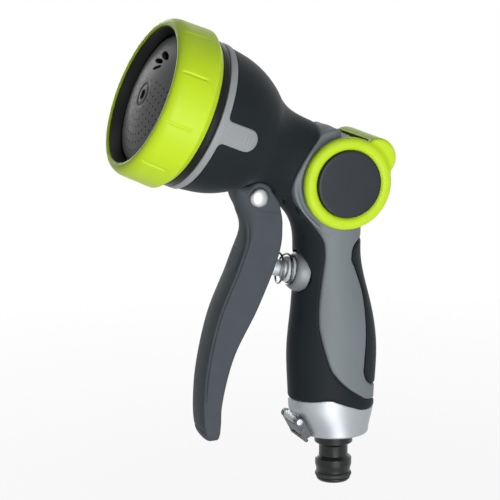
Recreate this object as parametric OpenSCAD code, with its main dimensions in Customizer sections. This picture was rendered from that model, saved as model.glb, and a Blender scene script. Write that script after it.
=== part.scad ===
// Hose spray nozzle: a hand-held garden spray gun with a turret head, a
// front trigger, a thumb yoke for the flow and a quick-connect spigot.
// Millimetres. +Z runs up the spigot axis from its mouth, the head sprays
// towards -X and upwards, and the grip is symmetric about Y = 0.

/* [Grip] */
// Radius of the round foot of the grip
foot_r = 16.2; // [14:0.1:19]
// Height where the collar is fullest
collar_z = 38; // [34:0.5:42]
// Depth of the grip at the collar, front to back
collar_depth = 41.2; // [36:0.1:46]
// Width of the grip at the collar
collar_width = 32.4; // [30:0.1:36]
// Height where the grip is fullest
belly_z = 62; // [56:0.5:68]
// Depth of the grip at its fullest, front to back
belly_depth = 43.2; // [38:0.1:48]
// Width of the grip at its fullest
belly_width = 33; // [30:0.1:37]
// Height of the waist under the knob
waist_z = 112; // [108:0.5:116]
// Depth of the grip at the waist
waist_depth = 31.6; // [30:0.1:34]
// Width of the grip at the waist
waist_width = 29.2; // [28:0.1:32]
// Backward bow of the grip between its belly and its waist
grip_bow = 0.75; // [0:0.05:1.5]
// Depth of the crown under the neck
crown_depth = 54; // [50:0.1:58]
// Width of the crown under the neck
crown_width = 30; // [28:0.1:32]
// Thickness of the soft cover
cover_t = 2.2; // [1.6:0.1:2.8]
// How far the palm pad stands over the grip
pad_lift = 0.4; // [0.1:0.1:0.8]
// Height of the collar's top edge at the front
collar_front = 41.5; // [40:0.5:43]
// Height of the collar's top edge at the back
collar_back = 35.6; // [34:0.2:37]

/* [Knob and yoke] */
// Height of the knob axis over the spigot mouth
knob_z = 145; // [143:0.5:147]
// Radius of the housing between the two knob rings
housing_r = 20.1; // [19:0.1:20.6]
// Length of the housing along the knob axis
housing_len = 33.6; // [32:0.1:36]
// Outer radius of each knob ring
ring_r = 21.2; // [20.5:0.1:22.4]
// Height of each knob ring along the axis
ring_h = 4.4; // [3.8:0.1:5]
// Radius of the cap in each knob ring
cap_r = 15.4; // [14:0.1:16.4]
// Height of the thumb bar over the rings
bar_h = 6.5; // [5:0.1:7]
// First angle of the thumb bar above the back
bar_from = 12; // [10:1:18]
// Last angle of the thumb bar above the back
bar_to = 61; // [58:1:66]
// Radius of the flow spindle
spindle_r = 8; // [7:0.1:8.6]

/* [Head] */
// Upward tilt of the spray head
head_tilt = 23; // [20:0.5:26]
// Distance from the knob axis to the mouth of the head
head_reach = 98.6; // [96:0.2:102]
// Rise of the head axis over the knob axis
head_rise = 4.2; // [3:0.1:6]
// Outer radius of the bezel
bezel_r = 37.4; // [36:0.1:39]
// Length of the bezel
bezel_len = 22.2; // [20:0.1:24]
// Width of the bezel's front lip, from its largest radius to the mouth
mouth_lip = 5.1; // [4.7:0.1:5.5]
// Number of grip grooves round the bezel
bezel_grooves = 10; // [8:1:14]
// Step from the bezel's largest radius down to the bell
bell_step = 3.8; // [3.4:0.1:4.2]
// Radius of the neck
neck_r = 16.4; // [15.4:0.1:17]
// Length of the index ring along the head
index_len = 3.5; // [3:0.1:4.5]
// Length of the pointer tab on the index ring
tab_len = 17.8; // [14:0.2:19]
// Width of the pointer tab
tab_w = 10.6; // [9:0.1:12]
// Turn of the pointer tab below the side of the head
tab_turn = 3.6; // [0:0.2:8]
// Rise of the domed spray plate
dome_h = 5.4; // [4.4:0.1:6]
// Radius of the jet hole
jet_r = 1.9; // [1.5:0.1:2.4]
// Radius of one shower hole
shower_r = 0.7; // [0.5:0.1:0.9]

/* [Trigger] */
// Width of the trigger
trigger_w = 16.4; // [15.4:0.1:17]
// Length of the trigger below its pin
trigger_len = 113.6; // [110:0.2:116]
// Width of the bead along the trigger's front edges
bead_w = 1.2; // [0.8:0.1:2]
// Height of that bead over the trigger's sides
bead_h = 0.4; // [0.2:0.1:0.6]
// Wall of each trigger cheek
cheek_t = 2.6; // [2:0.1:2.8]
// Thickness of the trigger's front web
web_t = 3.2; // [2.4:0.1:4]
// Radius of the trigger pin
pin_r = 2.5; // [2:0.1:3]
// Radius of the pin's domed heads
pin_head_r = 4.4; // [3.8:0.1:5]
// Squeeze of the trigger in degrees
squeeze = 14; // [10:0.5:14]

/* [Valve] */
// Downward tilt of the valve axis, front to back
stem_tilt = 13; // [11:0.5:15]
// Radius of the valve stem
stem_r = 3.9; // [3.4:0.1:4]
// Reach of the stem in front of the gland nut
stem_reach = 15; // [13:0.1:16]
// Outer radius of the gland nut
gland_r = 9.7; // [9:0.1:10.4]
// Radius of the cup in the gland nut
gland_cup_r = 6.7; // [6.2:0.1:7.2]
// Outer radius of the stem bush
bush_r = 6; // [5.6:0.1:6.1]
// Radius of the valve bore
valve_r = 6; // [5.6:0.1:6.2]
// Wire of the return spring
wire_d = 1; // [0.8:0.1:1.2]
// Curls of the return spring
spring_turns = 2; // [2:1:3]
// Mean radius of the return spring
spring_r = 7; // [6.8:0.1:7.2]

/* [Spigot] */
// Length of the spigot below the collar
spigot_len = 24; // [22:0.1:27]
// Radius of the latch ridge
ridge_r = 8.6; // [8.2:0.05:9]
// Length of the latch ridge's straight land
ridge_len = 3; // [2:0.1:4]
// Height of the top of the latch ridge
ridge_z = 10.9; // [10:0.1:12]
// Radius of the neck above the ridge
spigot_neck_r = 6.8; // [6.4:0.1:7.4]
// Radius of the spigot's tip
tip_r = 8; // [7.6:0.1:8.2]
// Radius of the water bore
bore_r = 4.8; // [4:0.1:5.2]
// Height of the spigot's O-ring
oring_z = 3; // [2.8:0.1:3.6]
// Cord radius of the spigot's O-ring
oring_w = 1.3; // [1.1:0.05:1.5]

/* [Trigger lock] */
// Height of the lock's pin
lock_z = 32.4; // [32:0.1:33]
// Reach of the lock's pin in front of the collar
lock_out = 1; // [0.8:0.1:1.2]
// Width of the lock
lock_w = 18.6; // [17:0.1:19]
// Length of the lock's plate below its pin
lock_len = 10.8; // [10:0.1:11.4]
// Lean of the lock's plate from upright
lock_lean = 28; // [27:0.5:30]
// Sheet thickness of the lock
lock_t = 0.9; // [0.7:0.1:1]
// Radius of the lock pin
lock_pin_r = 1.1; // [0.9:0.1:1.2]

/* [Fits] */
// Running clearance of a shaft in its hole
run = 0.05; // [0.02:0.01:0.08]
// Clearance between pieces that are fitted by hand
fit = 0.1; // [0.06:0.01:0.15]
// Gap between pieces that move past each other
gap = 0.3; // [0.25:0.05:0.4]

/* [Hidden] */
$fn = 64;

// Colours
black = "#2b2e30";
grey = "#858c92";
green = "#b8d92b";
silver = "#b4bbc0";
steel = "#9aa0a4";
rubber = "#1c1d1e";
brass = "#b5923c";

// Grip sections from the foot up: height, centre, half depth, half width
knob_x = -2;
crown_z = knob_z - 5;
grip_stations = [
    [spigot_len, 0, foot_r, foot_r],
    [collar_z, -1.5, collar_depth / 2, collar_width / 2],
    [belly_z, -1.4, belly_depth / 2, belly_width / 2],
    [waist_z, -4.3, waist_depth / 2, waist_width / 2],
    [crown_z, -10, crown_depth / 2, crown_width / 2]];
loft_rings = 24;
loft_sides = 32;

// Places along the head axis, counted from the knob
bezel_front = head_reach + 0.5;
bezel_back = bezel_front - bezel_len;
flange_len = 3.8;
turret_back = bezel_back - flange_len;
index_front = turret_back - gap;
index_back = index_front - index_len;
bell_front = index_back - fit;
plate_front = index_front - fit;
plate_t = 11.8;
plate_r = bezel_r - bell_step - 4.6;
pipe_r = 8;
pipe_bore = 5;
port_at = plate_r - 15;
seal_r = 5.5;
track_at = plate_r - 7;
ball_r = 2;
floor_t = 2;
shell_r = bezel_r - 3.4;
mouth_r = bezel_r - mouth_lip;
bell_r = bezel_r - bell_step;
flange_r = bell_r + 0.7;
lip_t = 1;
recess_r = mouth_r - 2;
dome_edge = head_reach - 0.2 - dome_h;
dome_t = 2;
dome_r = recess_r - fit;
dome_ball = (dome_r * dome_r + dome_h * dome_h) / (2 * dome_h);
hub_r = 6;
axle_r = 2.5;
axle_head_r = 4.5;
axle_head_t = 2.6;
hub_front = turret_back + 9;
bell_core_wall = 2.5;

// Trigger pivot, and the valve's place at the front of the grip
pivot = [-40.5, 139.2];
gland_at = [-22, 102.9];
lug_half = trigger_w / 2 - cheek_t - gap;
pin_dome = 2;
ear_r = 6.8;
pad_tilt = stem_tilt + squeeze / 2;

// Places along the valve axis, counted from the gland nut's rim
gland_seat = 6;
gland_end = 10;
chamber_end = 15.5;
seat_end = 17;
seal_t = 1.1;
poppet_t = 1.35;
valve_end = 30.3;
valve_neck_r = 1.8;
seat_bore = 3.9;
poppet_r = 5;
poppet_front = seat_end + fit;
poppet_back = poppet_front + seal_t + poppet_t;
gland_thread_r = 7.6;
valve_wire = 0.7;
valve_turns = 4;
bush_front = -3.5;

// Knob stack along the knob axis, counted from the middle
hub_in = housing_len / 2 + gap;
hub_t = 1.8;
hub_out = hub_in + hub_t;
cap_out = hub_in + ring_h + 0.8;
cap_t = cap_out - hub_out;
hex_r = 5;
bar_in = max(ring_r, housing_r) + 0.6;
bar_half = hub_in + 2.8;

// Collar, spigot and lock
collar_floor = 2;
plug_r = 10.4;
plug_top = spigot_len + 12;
washer_t = 2;
inlet_top = plug_top + washer_t;
lock_half = lock_w / 2;
lock_x = grip_front(lock_z) - lock_out;
lock_lug = 5.7;
knuckle_r = lock_pin_r + lock_t;

// Smooth step from 0 to 1, and the slow start of the crown's flare
function ease(t) = t * t * (3 - 2 * t);
function flare(t) = t * t * t;

// Smooth curve through a list of points, with n steps a span
function curve(p, n) = concat(
    [for (i = [0 : len(p) - 2], k = [0 : n - 1])
        let (t = k / n, a = p[max(i - 1, 0)], b = p[i], c = p[i + 1],
            d = p[min(i + 2, len(p) - 1)])
        (2 * b + (c - a) * t + (2 * a - 5 * b + 4 * c - d) * t * t
            + (3 * b - a - 3 * c + d) * t * t * t) / 2],
    [p[len(p) - 1]]);

// A curve moved sideways by d, to the left of its own direction
function beside(p, d) = [for (i = [0 : len(p) - 1])
    let (v = p[min(i + 1, len(p) - 1)] - p[max(i - 1, 0)])
    p[i] + d * [-v[1], v[0]] / norm(v)];

// Grip section at a height: centre, half depth, half width
function span_of(z) = len([for (s = grip_stations) if (s[0] <= z) 1]);
function grip_at(z) = let (
    n = len(grip_stations),
    i = min(max(span_of(z) - 1, 0), n - 2),
    a = grip_stations[i],
    b = grip_stations[i + 1],
    t = min(max((z - a[0]) / (b[0] - a[0]), 0), 1),
    e = i == n - 2 ? flare(t) : ease(t),
    bow = i == n - 3 ? grip_bow * pow(sin(180 * t), 2) : 0)
    [for (k = [1 : 3]) a[k] + (b[k] - a[k]) * e + (k == 1 ? bow : 0)];
function grip_front(z) = grip_at(z)[0] - grip_at(z)[1];
function grip_back(z) = grip_at(z)[0] + grip_at(z)[1];

// Frames of the head, the valve, the knob, the trigger and the lock
module at_head() {
    translate([knob_x, 0, knob_z + head_rise])
        rotate([0, head_tilt - 90, 0])
            children();
}

module at_valve() {
    translate([gland_at[0], 0, gland_at[1]])
        rotate([0, 90 + stem_tilt, 0])
            children();
}

module at_knob(side) {
    translate([knob_x, 0, knob_z])
        rotate([side * 90, 0, 0])
            children();
}

module at_side(x, z) {
    translate([x, 0, z])
        rotate([90, 0, 0])
            children();
}

// Extrusion of a side outline, in X and Z, across the middle plane
module across(half) {
    rotate([90, 0, 0])
        linear_extrude(2 * half, center = true)
            children();
}

// Round passage between two points of the middle plane
module passage(p, q, r) {
    d = q - p;
    translate([p[0], 0, p[1]])
        rotate([0, atan2(d[0], d[1]), 0])
            cylinder(h = norm(d), r = r);
}

// Ring of rectangular section
module ring(outer, inner, h) {
    difference() {
        cylinder(h = h, r = outer);
        translate([0, 0, -1])
            cylinder(h = h + 2, r = inner);
    }
}

// Round ring of a seal
module seal_ring(mean, cord) {
    rotate_extrude()
        translate([mean, 0])
            circle(r = cord, $fn = 32);
}

// Smooth body of the grip, drawn in by a skin thickness
module grip_loft(skin) {
    top = knob_z;
    heights = [for (i = [0 : loft_rings]) spigot_len + (top - spigot_len) * i / loft_rings];
    points = [for (z = heights, k = [0 : loft_sides - 1])
        let (s = grip_at(z), a = 360 * k / loft_sides)
        [s[0] + (s[1] - skin) * cos(a), (s[2] - skin) * sin(a), z]];
    walls = [for (i = [0 : loft_rings - 1], k = [0 : loft_sides - 1], h = [0, 1])
        let (a = i * loft_sides + k, b = i * loft_sides + (k + 1) % loft_sides)
        h == 0 ? [a, a + loft_sides, b] : [b, a + loft_sides, b + loft_sides]];
    floor_face = [for (k = [0 : loft_sides - 1]) k];
    roof_face = [for (k = [loft_sides - 1 : -1 : 0]) loft_rings * loft_sides + k];
    polyhedron(points = points, faces = concat(walls, [floor_face, roof_face]), convexity = 4);
}

// Outline of the bell and neck: radius at each place behind the mouth
bell_line = curve([
    [bell_front, bell_r], [head_reach - 40, bell_r - 1.5], [head_reach - 48, bell_r - 4.1],
    [head_reach - 55, bell_r - 7.9], [head_reach - 61, neck_r + 4.7], [head_reach - 67, neck_r + 1.8],
    [head_reach - 74, neck_r + 0.5], [head_reach - 84, neck_r]], 3);
neck_back = -4;

module bell_solid(skin) {
    at_head()
        rotate_extrude()
            polygon(concat(
                [[0, neck_back], [neck_r - skin, neck_back]],
                [for (i = [len(bell_line) - 1 : -1 : 0]) [bell_line[i][1] - skin, bell_line[i][0]]],
                [[0, bell_front]]));
}

// Knob housing with its wider cheek in front
module housing_solid(skin) {
    cheek_r = housing_r + 4.4;
    cheek_half = housing_len / 2 - 2;
    at_side(knob_x, knob_z)
        cylinder(h = housing_len, r = housing_r - skin / 2, center = true);
    intersection() {
        at_side(knob_x, knob_z)
            cylinder(h = 2 * (cheek_half - skin / 2), r = cheek_r - skin, center = true);
        translate([knob_x - cheek_r, -cheek_half, knob_z - cheek_r])
            cube([cheek_r, 2 * cheek_half, 2 * cheek_r]);
    }
}

module envelope(skin) {
    grip_loft(skin);
    bell_solid(skin);
    housing_solid(skin);
}

// Side outline of the bare casting: the saddle, the cheek and the panel
panel_edge = curve([
    [-11, knob_z + 33], [-12, knob_z + 23], [-21, knob_z + 12.3], [-26.7, knob_z - 1],
    [-22.8, knob_z - 11.6], [-12.2, waist_z + 8.5], [-10.2, waist_z - 0.5], [-11.6, belly_z + 36],
    [-12.7, belly_z + 24], [-12.4, belly_z + 13], [-8.5, belly_z - 2.4], [-4.6, belly_z - 8.8],
    [1.2, belly_z - 14.4], [8.2, collar_front + 1.4], [12.4, collar_back + 5.1],
    [24, collar_back + 2.6]], 4);
module panel_zone() {
    far = belly_depth;
    across(far)
        polygon(concat(panel_edge, [[far, panel_edge[len(panel_edge) - 1][1]], [far, panel_edge[0][1]]]));
}

// Side outline of the palm pad on the back of the grip
pad_edge = curve([
    [waist_depth, waist_z + 6.5], [8, waist_z + 4.6], [3.2, waist_z - 2.6], [5.6, belly_z + 41],
    [9.6, belly_z + 29], [10.8, belly_z + 12], [9.7, belly_z - 3], [9.6, belly_z - 8.4],
    [12.6, collar_front + 7.4], [20, collar_front + 4.8], [belly_depth, collar_front + 4.2]], 4);
module pad_zone() {
    across(belly_depth)
        polygon(pad_edge);
}

// Side outline of the collar, with its stepped top edge
collar_edge = curve([
    [-belly_depth, collar_front], [-19, collar_front + 0.2], [-8.7, collar_front + 1.2],
    [-4.4, collar_front], [2.6, collar_back + 3.1], [13, collar_back + 0.4],
    [belly_depth, collar_back]], 4);
module collar_zone(raise) {
    across(belly_depth)
        polygon(concat(
            [for (p = collar_edge) p + [0, raise]],
            [[belly_depth, 0], [-belly_depth, 0]]));
}

// Room for a knob ring beside the housing, on both sides
module knob_room() {
    for (side = [1, -1])
        at_knob(side)
            translate([0, 0, housing_len / 2 + fit])
                cylinder(h = housing_len, r = ring_r + gap);
}

// Room round the trigger's ears and the heads of its pin, on both sides of the lug
module ear_pockets() {
    room = trigger_w / 2 + gap;
    reach = 12.8;
    rise = 3.4;
    difference() {
        union() {
            translate([pivot[0], 0, pivot[1]])
                across(room) {
                    circle(r = ear_r + gap);
                    intersection() {
                        circle(r = reach);
                        translate([-reach, -2 * reach])
                            square([2 * reach, 2 * reach + rise]);
                    }
                    translate([-reach - 1, -reach])
                        square([reach + 1, reach + ear_r + gap]);
                }
            at_side(pivot[0], pivot[1])
                cylinder(h = 2 * (room + pin_dome + gap), r = pin_head_r + gap, center = true);
        }
        trigger_lug(0);
    }
}

// Lug that carries the trigger pin
module trigger_lug(skin) {
    lug_r = pin_r + 2.4;
    across(lug_half - skin)
        union() {
            translate(pivot)
                circle(r = lug_r);
            polygon([pivot + [-lug_r, 0], pivot + [lug_r, -1], [grip_front(waist_z) + 6, crown_z - 12],
                [knob_x, knob_z], [pivot[0] + 4, knob_z + 20], pivot + [-lug_r, 14]]);
        }
}

// Water passages inside the casting
module waterways() {
    at_valve() {
        translate([0, 0, gland_seat])
            cylinder(h = gland_end - gland_seat + 0.5, r = gland_thread_r + run);
        translate([0, 0, gland_end])
            cylinder(h = valve_end - gland_end, r = valve_r);
    }
    chamber_mid = (gland_end + chamber_end) / 2;
    rear_mid = (seat_end + valve_end) / 2;
    down = [cos(stem_tilt), -sin(stem_tilt)];
    passage([0, plug_top], gland_at + down * rear_mid, valve_r - 1.8);
    passage(gland_at + down * chamber_mid, [knob_x, knob_z], (chamber_end - gland_end) / 2);
    translate([0, 0, spigot_len + collar_floor - 1])
        cylinder(h = inlet_top - spigot_len - collar_floor + 1, r = plug_r + fit);
    at_side(knob_x, knob_z)
        cylinder(h = housing_len + 2, r = spindle_r + run, center = true);
    at_head()
        cylinder(h = plate_front, r = pipe_bore);
}

// Hollow of the bell round the centre pipe
module bell_hollow() {
    back = head_reach - 62;
    at_head()
        difference() {
            rotate_extrude()
                polygon(concat(
                    [[0, back], [neck_r + 0.3, back]],
                    [for (i = [len(bell_line) - 1 : -1 : 0])
                        if (bell_line[i][0] > back + 3)
                            [bell_line[i][1] - cover_t - bell_core_wall, bell_line[i][0]]],
                    [[plate_r, bell_front + 1], [0, bell_front + 1]]));
            cylinder(h = plate_front - plate_t + 2, r = pipe_r);
        }
}

// Room for the gland nut, from in front of the grip to a depth along the valve axis
module gland_room(depth) {
    at_valve()
        translate([0, 0, -gland_seat])
            cylinder(h = gland_seat + depth, r = gland_r + fit);
}

// Body casting: grip core, knob housing, neck, bell core and lug in one
module body_casting() {
    color(grey)
        difference() {
            union() {
                difference() {
                    union() {
                        grip_loft(cover_t);
                        bell_solid(cover_t);
                        housing_solid(cover_t);
                    }
                    translate([0, 0, spigot_len])
                        cube([belly_depth, belly_depth, 2 * (collar_floor + fit)], center = true);
                    ear_pockets();
                }
                trigger_lug(0);
                intersection() {
                    envelope(0);
                    difference() {
                        panel_zone();
                        pad_zone();
                    }
                }
            }
            bell_hollow();
            waterways();
            knob_room();
            gland_room(gland_seat + run);
            at_side(pivot[0], pivot[1])
                cylinder(h = trigger_w, r = pin_r + run, center = true);
        }
}

// Soft black cover over the bell, the neck and the front of the grip
module grip_cover() {
    color(black)
        difference() {
            envelope(0);
            panel_zone();
            pad_zone();
            collar_zone(gap / 2);
            envelope(cover_t - fit);
            trigger_lug(-fit);
            ear_pockets();
            knob_room();
            gland_room(gland_end + cover_t);
        }
}

// Soft pad down the back of the grip
module palm_pad() {
    color(black)
        difference() {
            intersection() {
                grip_loft(-pad_lift);
                pad_zone();
            }
            grip_loft(cover_t - fit);
            collar_zone(gap / 2);
        }
}

// Base collar with the lug of the trigger lock
module base_collar() {
    color(silver)
        difference() {
            union() {
                intersection() {
                    grip_loft(0);
                    collar_zone(0);
                }
                across(lock_lug)
                    union() {
                        translate([lock_x, lock_z])
                            circle(r = knuckle_r);
                        translate([lock_x, lock_z - knuckle_r])
                            square([2 * knuckle_r + 1, 2 * knuckle_r]);
                    }
            }
            difference() {
                at_side(lock_x, lock_z)
                    cylinder(h = lock_w + 2, r = knuckle_r + gap, center = true);
                across(lock_lug)
                    translate([lock_x, lock_z])
                        square(4 * knuckle_r, center = true);
            }
            difference() {
                grip_loft(cover_t - fit);
                translate([0, 0, spigot_len])
                    cube([belly_depth, belly_depth, 2 * collar_floor], center = true);
            }
            cylinder(h = 2 * spigot_len, r = plug_r - 1.2);
            at_side(lock_x, lock_z)
                cylinder(h = lock_w, r = lock_pin_r + run, center = true);
        }
}

// Outline of the bell, raised by a thickness, from its axis out
function bell_raised(t) = concat(
    [[0, neck_back]],
    [for (i = [len(bell_line) - 1 : -1 : 0]) [bell_line[i][1] + t, bell_line[i][0]]],
    [[bell_r + t, index_front - fit], [0, index_front - fit]]);

// Index ring behind the head, with its pointer tab on the left side
module index_ring() {
    tab_t = 0.8;
    tab_end = index_back - tab_len + tab_w / 2;
    color(steel)
        at_head()
            union() {
                translate([0, 0, index_back])
                    ring(flange_r, plate_r + fit, index_len);
                difference() {
                    intersection() {
                        rotate_extrude()
                            polygon(bell_raised(tab_t));
                        rotate([90, 0, -tab_turn])
                            linear_extrude(2 * bell_r)
                                union() {
                                    translate([-tab_w / 2, tab_end])
                                        square([tab_w, index_front - tab_end - 1]);
                                    translate([0, tab_end])
                                        circle(r = tab_w / 2);
                                }
                    }
                    rotate_extrude()
                        polygon(bell_raised(fit));
                }
            }
}

// Plate that closes the bell, leads the water to one port and carries the turret
module head_plate() {
    channel_z = plate_front - plate_t + 3.5;
    color(black)
        at_head()
            difference() {
                union() {
                    translate([0, 0, bell_front + fit])
                        cylinder(h = plate_front - bell_front - fit, r = plate_r - fit);
                    translate([0, 0, plate_front - plate_t])
                        cylinder(h = plate_t - 1, r = track_at + ball_r + 1.5);
                }
                translate([0, 0, plate_front - plate_t - 1])
                    cylinder(h = 3 + fit, r = pipe_r + fit);
                translate([0, 0, plate_front - plate_t])
                    cylinder(h = 6, r = pipe_bore - 0.5);
                translate([0, 0, channel_z])
                    rotate([0, 90, 0])
                        cylinder(h = port_at, r = 2.8);
                translate([port_at, 0, channel_z])
                    cylinder(h = plate_t, r = seal_r + fit);
                translate([-track_at, 0, plate_front - 7])
                    cylinder(h = plate_t, r = ball_r + run);
                translate([0, 0, plate_front - 5])
                    cylinder(h = plate_t, r = axle_r + run);
            }
}

// Rubber ring that seals the port against the turret
module selector_seal() {
    color(rubber)
        at_head()
            translate([port_at, 0, plate_front - 4])
                ring(seal_r, seal_r - 2, 4 + gap);
}

module seal_spring() {
    color(silver)
        at_head()
            translate([port_at, 0, plate_front - plate_t + 3.6])
                coil(seal_r - 1, 0.6, 2, plate_t - 7.7);
}

module detent_ball() {
    color(silver)
        at_head()
            translate([-track_at, 0, plate_front - 0.6])
                sphere(r = ball_r);
}

module detent_spring() {
    pocket = 6.9;
    color(silver)
        at_head()
            translate([-track_at, 0, plate_front - pocket])
                coil(ball_r - 0.6, 0.5, 3, pocket - 2.7);
}

// Shoulder screw on which the turret turns
module turret_screw() {
    hold = 4.8;
    color(silver)
        at_head() {
            translate([0, 0, plate_front - hold])
                cylinder(h = hub_front - plate_front + hold + 2 * fit, r = axle_r);
            translate([0, 0, hub_front + fit])
                cylinder(h = axle_head_t, r1 = axle_head_r, r2 = axle_head_r - 1);
        }
}

// Bezel with its rounded lip, its back bevel and its grip grooves
module bezel_ring() {
    lip_w = 3.6;
    lip_len = 6;
    bevel = 3.1;
    groove_d = 0.5;
    groove_turn = 2.6;
    groove_len = 13;
    first_groove = 7.5;
    front_r = bezel_r - 0.5;
    groove_front = bezel_front - 2;
    color(green)
        at_head()
            difference() {
                rotate_extrude()
                    polygon(concat(
                        [[shell_r + fit, bezel_back], [flange_r, bezel_back],
                            [bezel_r, bezel_back + bevel]],
                        [for (a = [0 : 10 : 90])
                            [front_r - lip_w + lip_w * cos(a), bezel_front - lip_len + lip_len * sin(a)]],
                        [[mouth_r + 0.4, bezel_front], [mouth_r, bezel_front - 0.4],
                            [mouth_r, bezel_front - lip_t], [shell_r + fit, bezel_front - lip_t]]));
                for (i = [0 : bezel_grooves - 1])
                    rotate([0, 0, 360 * i / bezel_grooves + first_groove - groove_turn / 2])
                        rotate_extrude(angle = groove_turn)
                            polygon([[front_r - groove_d, groove_front], [bezel_r + 1, groove_front],
                                [bezel_r + 1, groove_front - groove_len],
                                [front_r - groove_d / 2, groove_front - groove_len]]);
            }
}

// Turret shell: the black ring behind the bezel, the back wall with its
// ports, the dividing walls and the wall inside the mouth
module turret_shell() {
    ports = 6;
    back_top = turret_back + floor_t;
    ledge = dome_edge - dome_t - fit;
    color(black)
        at_head()
            difference() {
                union() {
                    translate([0, 0, turret_back])
                        cylinder(h = flange_len - fit, r = flange_r);
                    translate([0, 0, turret_back])
                        cylinder(h = bezel_front - lip_t - fit - turret_back, r = shell_r);
                }
                translate([0, 0, dome_edge])
                    cylinder(h = bezel_front - dome_edge, r1 = recess_r, r2 = mouth_r);
                difference() {
                    translate([0, 0, back_top])
                        cylinder(h = bezel_len + flange_len, r = recess_r);
                    translate([0, 0, turret_back])
                        cylinder(h = hub_front - turret_back, r = hub_r);
                    for (i = [0 : ports - 1])
                        rotate([0, 0, 360 * (i + 0.5) / ports])
                            translate([hub_r - 1, -0.6, turret_back])
                                cube([recess_r - hub_r + 2, 1.2, ledge - turret_back]);
                    translate([0, 0, turret_back])
                        ring(recess_r + 1, recess_r - 2, ledge - turret_back);
                }
                for (i = [0 : ports - 1])
                    rotate([0, 0, 360 * i / ports])
                        translate([port_at, 0, turret_back - 1])
                            cylinder(h = floor_t + 2, r = seal_r - 2.2);
                translate([0, 0, turret_back - 1])
                    ring(track_at + ball_r, track_at - ball_r, 2.3);
                translate([0, 0, turret_back - 1])
                    cylinder(h = bezel_len, r = axle_r + run);
            }
}

// Domed spray plate with the jet, three fan slots and the shower holes
module spray_plate() {
    fans = [[0.645, -0.1, 1.4, 4.6], [0.54, 0.01, 1.1, 4.6], [0.44, -0.06, 0.8, 3.4]];
    shower_rows = 4;
    color(black)
        at_head()
            difference() {
                intersection() {
                    translate([0, 0, dome_edge - dome_t])
                        cylinder(h = dome_h + dome_t + 1, r = dome_r);
                    translate([0, 0, dome_edge + dome_h - dome_ball])
                        sphere(r = dome_ball, $fn = 128);
                }
                translate([0, 0, dome_edge + dome_h - dome_ball])
                    sphere(r = dome_ball - dome_t, $fn = 128);
                cylinder(h = 2 * head_reach, r = jet_r);
                for (fan = fans)
                    linear_extrude(2 * head_reach)
                        polygon([for (a = [0 : 20 : 340])
                            [fan[0] * dome_r + fan[2] * cos(a), fan[1] * dome_r + fan[3] * sin(a)]]);
                for (row = [0 : shower_rows - 1], i = [0 : 5 + 2 * row])
                    rotate([0, 0, 70 + 220 * i / (5 + 2 * row)])
                        translate([9 + 5 * row, 0, 0])
                            cylinder(h = 2 * head_reach, r = shower_r);
            }
}

// Trigger outline in hundredths of its length from the pin: the front from
// the lip down to the tip, then the back up
trigger_unit = trigger_len / 100;
trigger_front = curve([for (p = [[-9.9, 4.75], [-9.1, -0.5], [-7.3, -5.46], [-5.1, -14.96],
    [-9.6, -28.79], [-17.7, -47.71], [-22.7, -68.66], [-24.1, -85.39], [-23.2, -95.6], [-20.6, -100]])
    pivot + trigger_unit * p], 4);
trigger_back = curve([for (p = [[-16.9, -99.4], [-16.2, -92], [-15.4, -82.75], [-10.2, -64.26],
    [0, -44.89], [8.8, -23.77], [10.2, -11.44], [8.6, -2.29]])
    pivot + trigger_unit * p], 4);
ear_top = [for (a = [0 : 15 : 110]) pivot + ear_r * [cos(a + 20), sin(a + 20)]];

// Trigger lever: two cheeks, the front web and the rib that meets the stem
module trigger_lever() {
    notch = 1.4;
    notch_at = pivot + trigger_unit * [-24.2, -95];
    inner = beside(trigger_front, web_t);
    bead = beside(trigger_front, bead_w);
    flank = [for (i = [5 : len(bead) - 8]) bead[i]];
    inside = trigger_w / 2 - cheek_t;
    color(black)
        difference() {
            union() {
                difference() {
                    across(trigger_w / 2)
                        polygon(concat(trigger_front, trigger_back, ear_top));
                    across(inside)
                        polygon(concat(inner, [[0, inner[len(inner) - 1][1]], [0, pivot[1] + 30],
                            [inner[0][0], pivot[1] + 30]]));
                }
                intersection() {
                    across(inside + fit)
                        polygon(concat(trigger_front, trigger_back, ear_top));
                    at_valve()
                        translate([0, 0, -stem_reach])
                            rotate([0, pad_tilt - stem_tilt, 0])
                                translate([-4.8, -inside - fit, -3 * stem_reach])
                                    cube([9.6, 2 * (inside + fit), 3 * stem_reach]);
                }
            }
            for (side = [1, -1])
                translate([0, side * (trigger_w / 2 + 1 - bead_h), 0])
                    across(1)
                        polygon(concat(flank, [[0, flank[len(flank) - 1][1]], [0, flank[0][1]]]));
            translate([notch_at[0], 0, notch_at[1]])
                rotate([0, -35, 0])
                    cube([2 * notch, trigger_w + 1, notch], center = true);
            at_side(pivot[0], pivot[1])
                cylinder(h = 2 * trigger_w, r = pin_r + run, center = true);
        }
}

// Pin with its two domed heads
module trigger_pin() {
    out = trigger_w / 2 + gap;
    ball = (pin_head_r * pin_head_r + pin_dome * pin_dome) / (2 * pin_dome);
    color(silver)
        at_side(pivot[0], pivot[1]) {
            cylinder(h = 2 * out, r = pin_r, center = true);
            for (side = [0, 1])
                mirror([0, 0, side])
                    translate([0, 0, out])
                        intersection() {
                            cylinder(h = pin_dome, r = pin_head_r);
                            translate([0, 0, pin_dome - ball])
                                sphere(r = ball);
                        }
        }
}

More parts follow.
